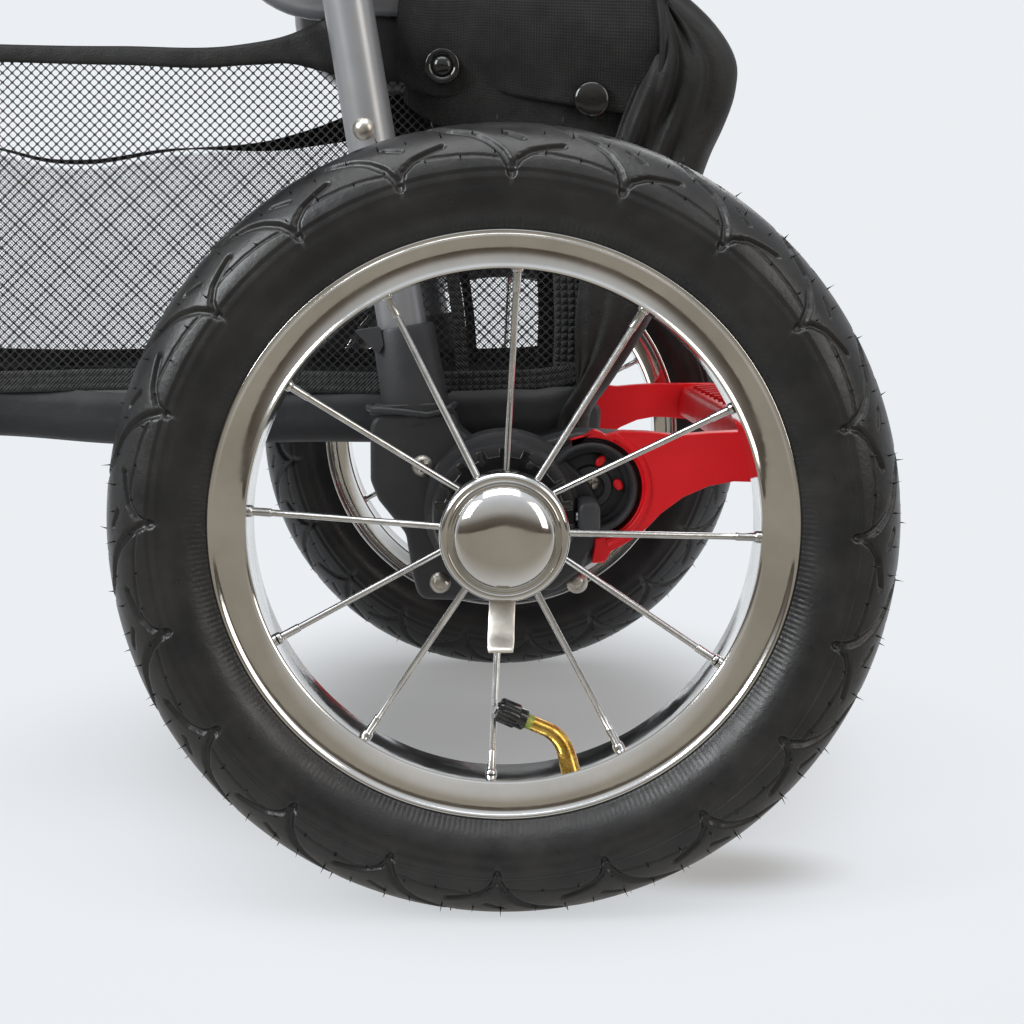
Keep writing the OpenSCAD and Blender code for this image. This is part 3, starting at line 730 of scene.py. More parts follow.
def spoke_piece(name, flange, turn=3, count=12):
    parts_v, parts_f = [], []
    for i in range(count):
        a = math.radians(-turn - i * 360 / count)

        def place(x, r):
            return Vector((x, -r * math.sin(a), r * math.cos(a))) * MM + AXLE

        sign = -1 if i % 2 == 0 else 1
        foot, top = place(sign * flange, 15.5), place(0, 96.9)
        u = (top - foot).normalized()
        line = [foot, foot + u * 4 * MM, foot.lerp(top, 0.5), top - u * 9.5 * MM, top - u * 9.4 * MM,
                top - u * 9.0 * MM, top - u * 2.0 * MM, top - u * 1.6 * MM, top - u * 0.9 * MM, top]
        radii = np.array([1.3, 1.3, 1.25, 1.3, 1.45, 1.6, 1.6, 2.1, 2.35, 2.3]) * MM
        v, f = sweep_data(line, radii, 14)
        base = len(parts_v)
        parts_v += v
        parts_f += [tuple(base + j for j in face) for face in f]
    return new_piece(name, parts_v, parts_f, "spoke", crease=50)


def brake_ring_piece(name):
    """A disc with square teeth on its rim, as a stepped outline."""
    outline = []
    count = 18
    for k in range(count):
        a = 360 / count * k
        gap = 360 / count * 0.27
        for b, r in ((a + gap, 24.0), (a + gap + 0.6, 27.4), (a + 360 / count / 2, 27.5),
                     (a + 360 / count - gap - 0.6, 27.4), (a + 360 / count - gap, 24.0),
                     (a + 360 / count, 23.9)):
            outline.append((AXLE.y + r * MM * math.cos(math.radians(b)),
                            AXLE.z + r * MM * math.sin(math.radians(b))))
    disc = plate(name, outline, AXLE.x - 29.5 * MM, AXLE.x - 23 * MM, "gloss_black", bevel=0.35, segments=2)
    return disc


def hub_pieces(name, x0, x1, seat):
    profile = [(x0, 6.3), (x0, 12.2), (x0 + 0.8, 13), (-22.6, 13), (-22.4, 18.4), (-21.8, 19), (-18.6, 19),
               (-18.0, 18.2), (-17.6, 14), (-12, 11.6), (0, 11.0), (12, 11.6), (17.6, 14), (18, 18.2),
               (18.6, 19),
               (21.8, 19), (22.4, 18.4), (22.6, 13.4)]
    profile += [(32.6, 13.4), (33, 20.8), (33.5, 21.4), (x1, 21.4), (x1, 6.3)] if seat else [(x1 - 0.8, 13),
            (x1, 12.2), (x1, 6.3)]
    return lathe(name, profile, "plastic", AXLE, steps=96, crease=40)


def hub_cap_piece(name):
    outer = [(33.0, 21.7), (33.0, 23.3), (33.8, 23.6), (40.4, 23.6), (41.6, 23.45), (42.4, 22.9),
             (42.9, 22.0),
             (43.0, 21.2), (42.6, 20.4), (41.9, 19.9), (41.8, 19.4), (42.3, 18.9)]
    dome = [(42.3 + 7.0 * math.sin(math.radians(a)), 18.9 * math.cos(math.radians(a)) ** 0.72)
            for a in np.linspace(6, 88, 15)]
    back = [(47.5, 0.03), (46.6, 8), (44.6, 14), (41.2, 18.4), (40.8, 21.0), (40.2, 21.7)]
    return lathe(name, outer + dome + [(49.25, 0.02)] + back, "chrome", AXLE, steps=192, crease=55)


def clip_piece(name):
    """The flat spring tab: a plate behind the cap that widens and turns out into a foot."""
    lean = math.radians(-2)
    rows = []
    for s, x, half in ((-12, 37.6, 5.2), (-20, 37.7, 5.0), (-26, 38.2, 4.7), (-31, 40.0, 4.7),
                       (-34, 42.2, 4.75),
                       (-36.5, 43.4, 4.8), (-39.0, 43.8, 4.7), (-40.2, 44.6, 4.6), (-40.9, 46.2, 4.5)):
        rows.append((s, x, half))
    verts, faces = [], []
    for thick in (0, 1.3):
        for s, x, half in rows:
            for y in (-half, -half + 0.5, half - 0.5, half):
                round_off = 0.3 if abs(y) == half else 0
                yy = y * math.cos(lean) - s * math.sin(lean)
                verts.append(Vector((x + (thick - round_off if thick else round_off), yy, s)) * MM + AXLE)
    n, c = len(rows), 4
    faces += [tuple(reversed(f)) for f in grid_faces(n, c)] + grid_faces(n, c, start=n * c)
    edge = [j for j in range(c)] + [i * c + c - 1 for i in range(1, n)] + \
           [(n - 1) * c + j for j in range(c - 2, -1, -1)] + [i * c for i in range(n - 2, 0, -1)]
    faces += [(a, b, b + n * c, a + n * c) for a, b in zip(edge, edge[1:] + edge[:1])]
    obj = new_piece(name, verts, faces, "nickel", crease=45)
    fix_normals(obj)
    return obj


def valve_piece(name):
    """The bent valve: stem, two collars and the turned-over neck, in brass."""
    turn = math.radians(15)

    def place(x, y, z):
        return Vector((x, y * math.cos(turn) - z * math.sin(turn),
                       y * math.sin(turn) + z * math.cos(turn))) * MM + AXLE

    path = bent([place(0, 0, -104), place(0, 0, -84.5), place(2, -14, -72.9)], 14 * MM, 14)
    path = dense(path, 1.2 * MM)
    total = np.cumsum([0] + [(b - a).length for a, b in zip(path, path[1:])])
    radii = np.interp(total * 1000, [0, 9, 15, 22, 24, 24.2, 60], [3.7, 3.7, 3.35, 3.1, 3.0, 2.9, 2.9]) * MM
    stem = sweep(name, path, radii, "brass", sides=20)
    stem.data.materials.append(MATS["verdigris"])
    for face in stem.data.polygons:
        far = (Vector(face.center) - path[-1]).length
        if 3.0 * MM < far < 7.0 * MM:
            face.material_index = 1
    u = (path[-1] - path[-8]).normalized()
    foot = path[-1] - u * 3 * MM
    cap_line = [foot, foot + u * 0.5 * MM, foot + u * 3.2 * MM, foot + u * 3.8 * MM, foot + u * 10.6 * MM,
                foot + u * 11.6 * MM, foot + u * 12.0 * MM, foot + u * 12.5 * MM]
    verts, faces = sweep_data(cap_line, np.array([3.9, 4.3, 4.3, 4.75, 4.75, 4.1, 2.6, 2.2]) * MM, 48)
    for i, v in enumerate(verts):
        ring, k = divmod(i, 48)
        if 2 < ring < 6:
            axis_point = cap_line[ring]
            verts[i] = axis_point + (Vector(v) - axis_point) * (1.0 if k % 4 < 2 else 0.9)
    cap = new_piece(name + "_cap", verts, faces, "gloss_black", crease=30)
    return stem, cap


def make_wheels():
    near = {
        "tyre": tyre_mesh("left_tyre_tread", 1200, 56, 8, 6),
        "hairs": hairs("left_tyre_hairs"),
        "rim": rim_piece("left_rim_chrome"),
        "spokes": spoke_piece("left_spoke_set", 20),
        "hub": hub_pieces("left_hub_shell", -32, 36, True),
        "ring": brake_ring_piece("left_brake_teeth"),
        "cap": hub_cap_piece("left_cap_dome"),
        "clip": clip_piece("left_clip_tab"),
    }
    near["valve"], near["valve_cap"] = valve_piece("left_valve")
    far_tyre = tyre_mesh("right_tyre_tread", 760, 34, 6, 5)
    stands = {"tyre": "tyre", "rim": "rim", "spokes": "spokes", "hub": "hub", "ring": "brake_ring",
              "cap": "hub_cap",
              "clip": "axle_clip", "valve": "inner_tube"}
    offset = FRONT - AXLE
    front_hub = hub_pieces("front_hub_shell", -29, 29, False)
    front_hub.data.transform(Matrix.Translation(offset))
    for key, piece in near.items():
        source = far_tyre if key == "tyre" else piece
        twin = mirrored(source, "right_" + piece.name.removeprefix("left_"),
                        "right_clip" if key == "clip" else "right_wheel")
        if key in stands:
            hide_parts("left_" + stands[key])
            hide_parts("right_" + stands[key])
        if key in ("tyre", "hairs", "rim", "spokes", "valve", "valve_cap"):
            copy = shifted(source, "front_" + piece.name.removeprefix("left_"), "front_wheel", offset)
            if key in stands:
                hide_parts("front_" + stands[key])
        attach(piece, "left_clip" if key == "clip" else "left_wheel")
    bpy.data.objects.remove(far_tyre)
    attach(front_hub, "front_wheel")
    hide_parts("front_hub")


make_wheels()


# ---------------------------------------------------------------- rear bracket, brake bar and legs
def rounded(points, radius, steps=5):
    """Closed outline of (y, z) points in mm with its corners rounded, given back in metres in the frame."""
    out = []
    n = len(points)
    for i in range(n):
        p, corner, q = (Vector(points[(i + k) % n]) for k in (-1, 0, 1))
        u, v = (corner - p), (q - corner)
        turn = u.angle(v)
        if turn < 0.05:
            out.append(tuple(corner))
            continue
        reach = min(radius * math.tan(turn / 2), 0.45 * u.length, 0.45 * v.length)
        a, b = corner - u.normalized() * reach, corner + v.normalized() * reach
        for k in range(steps + 1):
            t = k / steps
            out.append(tuple(a.lerp(corner, t).lerp(corner.lerp(b, t), t)))
    return [(AXLE.y + y * MM, z * MM) for y, z in out]


def both(obj, body, node=None):
    """Rides a left piece on its body, and adds its mirror image."""
    twin = mirrored(obj, "right_" + obj.name.removeprefix("left_"), body)
    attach(obj, body)
    for piece in (obj, twin):
        if node:
            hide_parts(*([node] if isinstance(node, str) else node))
    return obj, twin


def screw_head(name, centre, radius, dome, cross=True, steps=96):
    """A pan head seen from +X: a low dome, cut by a cross recess."""
    rings = 26
    verts, faces = [], []
    for i in range(rings + 1):
        r = radius * i / rings
        for k in range(steps):
            a = 2 * math.pi * k / steps + 0.5
            y, z = r * math.cos(a), r * math.sin(a)
            x = dome * (1 - (i / rings) ** 2.6)
            if cross:
                arm = min(abs(y), abs(z))
                reach = max(abs(y), abs(z))
                x -= dome * 0.9 * float(ease((0.16 * radius - arm) / (0.1 * radius))) * \
                    float(ease((0.56 * radius - reach) / (0.1 * radius)))
            verts.append(centre + Vector((x, y, z)))
    faces += grid_faces(rings + 1, steps, False, True)
    base = len(verts)
    verts += [centre + Vector((-1.4 * MM, radius * math.cos(a), radius * math.sin(a)))
              for a in (2 * math.pi * k / steps + 0.5 for k in range(steps))]
    for k in range(steps):
        d = (k + 1) % steps
        faces.append((rings * steps + k, rings * steps + d, base + d, base + k))
    faces.append(tuple(base + k for k in range(steps)))
    obj = new_piece(name, verts, faces, "nickel", crease=50)
    return obj


LEG_X, LEG_R, SIDE_X, TUBE_R, HANDLE_X = 187, 10, 160, 12.5, 212
LEG_DOWN = Vector((0, 66.9, -410)).normalized()
LEG_FOOT = from_axle(LEG_X, -36, 190)
BRACKET = [(-54.2, 188), (-54.3, 161), (-51.2, 153), (-40, 139), (-37.2, 121), (-34.5, 112), (-16, 111.5),
           (14, 111.5),
           (26, 116), (33, 125), (46, 133), (58, 148), (59, 168), (50, 180), (30, 181), (12, 176), (-8, 174),
           (-18, 182), (-20, 189)]
COLLAR = Vector((0, BOSS.y - 3.4 * MM, BOSS.z))       # middle of the brake bar's round housing
SCREWS = [(-33, 167, 201.2, True), (35, 161, 206.5, True), (-26, 119, 201.2, False), (30, 119, 201.2, False)]


def make_brackets():
    solid = plate("left_bracket_body", rounded(BRACKET, 7), 0.173, 0.2012, "plastic", bevel=2.2)
    drum_profile = [(199, 7), (199, 32.4), (208, 32.4), (210.5, 31.6), (211.5, 30.2), (212, 28.9),
                    (223.5, 28.6),
                    (225.4, 27.8), (226, 26), (226, 20), (224.6, 19), (224.6, 12), (226.4, 11), (226.4, 7)]
    drum = lathe("left_bracket_drum", drum_profile, "plastic", Vector((0, AXLE.y, AXLE.z)), 128, 35)
    cover = plate("left_bracket_cover", rounded([(-14, 176), (14, 177), (24, 171), (33, 163), (38.2, 154),
                                                 (38.6, 138),
                                                 (31, 125), (20, 117), (-14, 120)], 8), 0.2005, 0.2115,
                                                 "plastic",
                  bevel=1.6)
    guide = plate("left_bracket_guide", rounded([(29, 143.5), (37.6, 143.5), (37.6, 156), (29, 156)], 3.5),
                  0.205, 0.2385, "plastic", bevel=1.6)
    boss_profile = [(198, 15.4), (205.4, 15.4), (213.4, 15.6), (214.8, 16.2), (215.4, 17), (215.4, 17.7),
                    (214.6, 18.4),
                    (213, 18.6), (198, 18.6)]
    ring = lathe("left_bracket_boss", boss_profile, "plastic", COLLAR, 96, 35)
    floor_profile = [(199, 0.5), (205.2, 0.5), (205.6, 5), (208.4, 5.6), (208.6, 8.2), (205.6, 9),
                     (204.8, 13), (206.2, 14),
                     (206.2, 15.6), (199, 15.6)]
    floor = lathe("left_bracket_recess", floor_profile, "plastic", COLLAR, 96, 35)
    up = -LEG_DOWN
    socket_line = [LEG_FOOT - up * 6 * MM, LEG_FOOT + up * 3 * MM, LEG_FOOT + up * 32.4 * MM,
                   LEG_FOOT + up * 33.6 * MM,
                   LEG_FOOT + up * 33.8 * MM, LEG_FOOT + up * 20 * MM]
    socket = sweep("left_bracket_socket", socket_line, np.array([15.0, 13.7, 12.9, 12.4, 10.25, 10.2]) * MM,
                   "plastic",
                   sides=48)
    wing = plate("left_bracket_wing", rounded([(-61, 222), (-50, 223.5), (-48.6, 216), (-50.6, 212)], 1.2),
                 0.1945, 0.1978, "plastic", bevel=0.6)
    seam = []
    for y, z, x in ((-40, 190, 172.5), (-54.4, 190.2, 178), (-55.4, 190.2, 190), (-54.6, 190.3, 199),
                    (-51, 190.1, 202),
                    (-40, 189.0, 202.4), (-31, 187.8, 202.4), (-26, 188.8, 202.2), (-22, 190.6, 200),
                    (-20, 191.4, 190)):
        seam.append(from_axle(x, y, z))
    ridge = sweep("left_bracket_ridge", seam, 1.35 * MM, "plastic", sides=12)
    collar = plate("left_bracket_shoulder",
                   rounded([(-54.6, 187.5), (-53.8, 191.4), (-26, 192.6), (-22, 190.6), (-21, 187.5)], 2),
                   0.174, 0.2008, "plastic", bevel=1.4)
    parts = [solid, drum, cover, guide, ring, floor, socket, wing, ridge, collar]
    for part in parts:
        for mod in list(part.modifiers):
            with bpy.context.temp_override(object=part, active_object=part):
                bpy.ops.object.modifier_apply(modifier=mod.name)
    whole = join("left_bracket_moulding", parts)
    both(whole, "rear_legs", "axle_brackets")
    heads = []
    for i, (y, z, x, cross) in enumerate(SCREWS):
        heads.append(screw_head(f"left_screw_{i}", from_axle(x, y, z), 4.5 * MM, 2.4 * MM, cross))
    for i, (y, z) in enumerate(((-56.0, 302.5), (-63.6, 358.5))):
        heads.append(screw_head(f"left_rivet_{i}", from_axle(LEG_X + LEG_R - 0.5, y, z), 4.6 * MM, 2.6 * MM,
                                False))
    whole = join("left_screw_heads", heads)
    both(whole, "rear_legs", "rear_fasteners")


ARM = [(36.2, 182.3), (39, 181.6), (41, 180.2), (47.7, 181.9), (57.8, 181.6), (70, 180.2), (82, 181.2),
       (96, 181.9),
       (128, 182.0), (137, 178), (136, 163), (112, 160.5), (102, 161.4), (92.4, 161.7), (82.3, 159.8),
       (72.2, 155.4),
       (63.5, 149), (57.8, 143), (51, 137.8), (43.3, 133.4), (40.8, 129), (35.6, 128.6), (36.6, 135.2)]


def make_brake_bar():
    inner = [(COLLAR.y + 20.3 * MM * math.cos(math.radians(a)),
              COLLAR.z + 20.3 * MM * math.sin(math.radians(a)))
             for a in np.linspace(-86, 112, 30)]
    outline = [(AXLE.y + y * MM, z * MM) for y, z in ARM]
    outline += inner + [(AXLE.y + 28 * MM, 0.1768 - 0.0003)]
    arm = plate("left_brake_arm", outline, 0.2022, 0.2138, "red", bevel=1.1)
    rib_line = [Vector((0.2136, COLLAR.y + 22.6 * MM * math.cos(math.radians(a)),
                        COLLAR.z + 22.6 * MM * math.sin(math.radians(a))))
                for a in np.linspace(66, -74, 40)]
    rib = sweep("left_brake_rib", rib_line, 1.7 * MM, "red", sides=12)
    clips = []
    for i, (y, z, h, lean) in enumerate(((39.0, 169.6, 2.3, 20), (46.3, 160.0, 2.3, -12))):
        ring = [(y * MM + AXLE.y + 2.0 * MM * math.cos(a)
                 + math.sin(math.radians(lean)) * h * MM * math.sin(a),
                 z * MM + h * MM * math.sin(a)) for a in np.linspace(0, 2 * math.pi, 20, endpoint=False)]
        clips.append(plate(f"left_brake_catch_{i}", ring, 0.2066, 0.2096, "red", bevel=0.8))
    parts = [arm, rib] + clips
    for part in parts:
        for mod in list(part.modifiers):
            with bpy.context.temp_override(object=part, active_object=part):
                bpy.ops.object.modifier_apply(modifier=mod.name)
    whole = join("left_brake_lever", parts)
    both(whole, "brake", "brake_bar")
    bar = plate("brake_pedal_bar", rounded([(107, 162), (109, 180), (134, 183), (137, 180), (137.4, 163),
                                            (134, 160.5)], 5),
                -0.2026, 0.2026, "red", "brake", bevel=1.5)
    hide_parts("brake_bar")
    ribs = []
    for i in range(-7, 8):
        line = [from_axle(i * 22 - 8, 113, 181.4), from_axle(i * 22 + 8, 131, 183.2)]
        ribs.append(sweep(f"brake_pedal_rib_{i + 7}", line, 1.3 * MM, "red", sides=10))
    grip = join("brake_pedal_ribs", ribs)
    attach(grip, "brake")
    pin = sweep("left_brake_pin", [from_axle(233.8, 28.3, 150), from_axle(233.8, 37, 150)], 1.6 * MM,
                "steel", sides=20)
    both(pin, "brake_pins", "brake_pins")


def make_legs():
    top = Vector((LEG_X * MM, HINGE.y, HINGE.z)) + LEG_DOWN * 23 * MM
    leg = sweep("left_leg_tube", dense([top, LEG_FOOT], 0.03), LEG_R * MM, "silver", sides=64)
    both(leg, "rear_legs", "leg_tubes")
    disc = lathe("left_leg_eye", [(176, 4.3), (176, 22.4), (177.4, 23.8), (196.6, 23.8), (198, 22.4),
                                  (198, 4.3)], "plastic",
                 Vector((0, HINGE.y, HINGE.z)), 96, 40)
    both(disc, "rear_legs", "leg_tubes")


make_brackets()
make_brake_bar()
make_legs()


# ---------------------------------------------------------------- frame tubes and hard fittings
def glide(knots, x):
    """A smooth curve through knots of (x, y)."""
    xs, ys = (np.array(v, float) for v in zip(*knots))
    x = np.clip(np.asarray(x, float), xs[0], xs[-1])
    slope = np.gradient(ys, xs)
    i = np.clip(np.searchsorted(xs, x) - 1, 0, len(xs) - 2)
    w = xs[i + 1] - xs[i]
    t = (x - xs[i]) / w
    return ((2 * t**3 - 3 * t**2 + 1) * ys[i] + (t**3 - 2 * t**2 + t) * w * slope[i]
            + (3 * t**2 - 2 * t**3) * ys[i + 1] + (t**3 - t**2) * w * slope[i + 1])


def tube(name, points, radius, bend, body, node, mat="silver", sides=48):
    """A bent tube through points of (x, y, z) in mm, that stands for a CAD node."""
    line = dense(bent([from_axle(*p) for p in points], bend * MM), 0.02)
    obj = sweep(name, line, radius * MM, mat, body, sides=sides)
    if node:
        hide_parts(node)
    return obj


def knuckle(name, x0, x1, radius, at, body, node, mat="plastic"):
    """A round moulded boss across X with a dished face, mirrored to both sides."""
    profile = [(x0, 4.2), (x0, radius - 1.6), (x0 + 1.6, radius), (x1 - 1.6, radius),
               (x1 - 0.4, radius - 0.8),
               (x1, radius - 2), (x1, radius - 4.5), (x1 - 1.6, radius - 5.5), (x1 - 1.6, 11), (x1, 10),
               (x1, 4.2)]
    both(lathe(name, profile, mat, Vector((0, *at)), 96, 40), body, node)


def make_frame():
    y, z = (HINGE.y - AXLE.y) / MM, HINGE.z / MM
    sleeve_end = 66
    for s, side in ((1, "left"), (-1, "right")):
        x = s * SIDE_X
        tube(f"{side}_seat_tube", [(x, sleeve_end, 362.5), (x, y - 3, 362.5), (x, y, z - 26)], TUBE_R, 30,
             "chassis",
             "seat_side_tubes")
        aim = Vector((0, -417, -170)).normalized()
        tube(f"{side}_front_tube", [(x, y + 26 * aim.y, z + 26 * aim.z), (x, -520, 430),
                                    (s * 15, -722, 384)], TUBE_R, 70,
             "chassis", "front_frame")
    up = Vector((0, 403, 430)).normalized()
    tube("handle_bow", [(HANDLE_X, y + 26 * up.y, z + 26 * up.z), (HANDLE_X, 300, 1030),
                        (-HANDLE_X, 300, 1030),
                        (-HANDLE_X, y + 26 * up.y, z + 26 * up.z)], TUBE_R, 70, "handle", "handle_tube")
    tube("footrest_bow", [(138, -556, 411), (138, -556, 352), (-138, -556, 352), (-138, -556, 411)], 8, 26,
         "chassis", None,
         "plastic")
    knuckle("left_hinge_knuckle", 146.5, 173.5, 26.5, (HINGE.y, HINGE.z), "chassis", "hinge_blocks")
    knuckle("left_handle_knuckle", 199.5, 224.5, 26, (HINGE.y, HINGE.z), "handle", "handle_knuckles")
    pin = [(127, 0.5), (127, 7), (128, 8), (132, 8), (132.5, 4), (225, 4), (225, 9), (227.5, 8.6),
           (229, 6.5), (229.4, 0.5)]
    both(lathe("left_hinge_pin", pin, "chrome", Vector((0, HINGE.y, HINGE.z)), 64, 30), "chassis",
         "hinge_pins")
    tray = []
    for i in range(6):
        at = -600 + 22.0 * i
        tray.append(plate(f"footrest_slat_{i}",
                          rounded([(at, 360.4), (at + 13.6, 360.4), (at + 13.6, 366), (at, 366)], 2),
                          -0.1, 0.1, "plastic", bevel=1))
    for s in (-1, 1):
        tray.append(plate(f"footrest_edge_{s + 1}",
                          rounded([(-600, 359.6), (-489, 359.6), (-489, 366.6), (-600, 366.6)], 3),
                          min(s * 0.099, s * 0.116), max(s * 0.099, s * 0.116), "plastic", bevel=1.5))
    for part in tray:
        with bpy.context.temp_override(object=part, active_object=part):
            bpy.ops.object.modifier_apply(modifier="edge")
    tray = join("footrest_tray", tray)
    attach(tray, "chassis")
    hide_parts("footrest")
    by, bz = (BUMPER.y - AXLE.y) / MM, BUMPER.z / MM
    bar = dense(bent([from_axle(150, by - 10, bz + 0.9), from_axle(150, by - 200, bz + 18),
                      from_axle(-150, by - 200, bz + 18), from_axle(-150, by - 10, bz + 0.9)], 60 * MM),
                      0.004)
    total = np.cumsum([0] + [(b - a).length for a, b in zip(bar, bar[1:])])
    ripple = 9.2 + 0.35 * np.sin(total / 0.0125 * 2 * math.pi) * ((total > 0.02) & (total < total[-1] - 0.02))
    obj = sweep("bumper_foam", bar, ripple * MM, "foam", "bumper", sides=40)
    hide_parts("bumper_bar")
    knuckle("left_bumper_joint", 144, 159.5, 13.5, (BUMPER.y, BUMPER.z), "bumper", "bumper_bar")
    line = [from_axle(x, 300, 1030) for x in np.linspace(-135, 135, 109)]
    shape = np.array([16.2] + [17.0 + 0.35 * math.sin(i * math.pi / 3) for i in range(107)] + [16.2])
    grip = sweep("handle_foam", line, shape * MM, "foam", "handle", sides=48)
    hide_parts("handle_grip")
    for node, mat in (("head_tube", "plastic"), ("fork", "silver"), ("front_axle", "steel"),
                      ("swivel_knob", "red"),
                      ("frame_lugs", "plastic"), ("rear_axle", "steel"), ("left_trigger", "plastic"),
                      ("right_trigger", "plastic"), ("left_bearings", "steel"), ("right_bearings", "steel"),
                      ("front_bearings", "steel")):
        data = bpy.data.objects[node].data
        data.materials.clear()
        data.materials.append(MATS[mat])


# ---------------------------------------------------------------- basket
NEAR_TOP = [(-430, 338), (-330, 340.5), (-250, 340), (-160, 338.5), (-110, 339), (-88, 343.5), (-72, 350.5),
            (-40, 350),
            (30, 349), (60, 347)]
FAR_TOP = [(-430, 335), (-330, 326), (-290, 319), (-262, 312), (-239, 311), (-194, 318), (-128, 325),
           (-96, 335), (-66, 349),
           (-40, 350), (30, 349), (60, 347)]
NEAR_BAND = [(-430, 7.4), (-130, 8), (-106, 8.6), (-88, 12), (-70, 24), (-40, 26), (60, 26)]
FAR_BAND = [(-430, 5), (-130, 6), (-90, 14), (-66, 24), (60, 26)]
BASE = [(-430, 183), (-380, 179), (-300, 177.5), (-213, 176.7), (-160, 173), (-85, 174), (0, 174.5),
        (22, 176), (38, 186)]
BASKET_X, BASKET_FRONT, BASKET_BACK = 164, -430, 33


def side_x(s, y, z):
    """How far out the basket's side stands: it bellies a little between its edges."""
    high = np.clip((z - 190) / 150, 0, 1)
    along = np.clip((y - BASKET_FRONT) / (BASKET_BACK - BASKET_FRONT), 0, 1)
    belly = 2.6 * np.sin(np.pi * high) * np.sin(np.pi * along) ** 0.7
    return s * (BASKET_X + belly + 0.7 * np.sin(y / 37 + z / 61 + s) * np.sin(np.pi * high))


def net_panel(name, place, u_range, rows, keep, body="chassis", cell=(4.0, 1.95), wide=1.5):
    """A net with staggered round holes.

    place(u, v) maps flat mm to the frame and keep(u, v) says which cells stay.
    """
    shared, verts, faces = {}, [], []
    cell_w, cell_h = cell
    half_w, half_h = cell_w / 2, cell_h

    def vertex(u, v, key=None):
        if key is not None and key in shared:
            return shared[key]
        verts.append((u, v))
        if key is not None:
            shared[key] = len(verts) - 1
        return len(verts) - 1

    w = wide * cell_w / 4
    hole = [(w, 0), (0.59 * w, 0.56 * w), (0, 0.98 * w), (-0.59 * w, 0.56 * w), (-w, 0),
            (-0.59 * w, -0.56 * w), (0, -0.98 * w),
            (0.59 * w, -0.56 * w)]
    rim = [(2, 0), (1, 1), (0, 2), (-1, 1), (-2, 0), (-1, -1), (0, -2), (1, -1)]     # in half cells
    for j in range(int((rows[1] - rows[0]) / cell_h)):
        for i in range(int((u_range[1] - u_range[0]) / cell_w)):
            u, v = u_range[0] + (i + 0.5 * (j % 2)) * cell_w, rows[0] + j * cell_h
            if not keep(u, v):
                continue
            outer = []
            for a, b in rim:
                key = (round((u + a * half_w / 2) * 100), round((v + b * half_h / 2) * 100))
                outer.append(vertex(u + a * half_w / 2, v + b * half_h / 2, key))
            inner = [vertex(u + a, v + b) for a, b in hole]
            faces += [(outer[k], outer[(k + 1) % 8], inner[(k + 1) % 8], inner[k]) for k in range(8)]
    flat = np.array(verts)
    obj = new_piece(name, place(flat[:, 0], flat[:, 1]), faces, "net")
    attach(obj, body)
    return obj


def cloth_grid(name, points, mat, body="chassis", thick=0.8, uv=None):
    """A cloth strip from a grid of points, rows by columns, with UVs in metres and a real thickness."""
    p = np.asarray(points, float)
    rows, cols = p.shape[:2]
    if uv is None:
        along = np.concatenate([[0], np.cumsum(np.linalg.norm(np.diff(p.mean(0), axis=0), axis=1))])
        down = np.concatenate([[0], np.cumsum(np.linalg.norm(np.diff(p.mean(1), axis=0), axis=1))])
        uv = np.stack(np.meshgrid(along, down), -1)
    obj = new_piece(name, p.reshape(-1, 3), grid_faces(rows, cols), mat, uv=np.asarray(uv).reshape(-1, 2))
    if thick:
        mod = obj.modifiers.new("cloth", "SOLIDIFY")
        mod.thickness = thick * MM
        mod.offset = 0
    if body:
        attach(obj, body)
    return obj


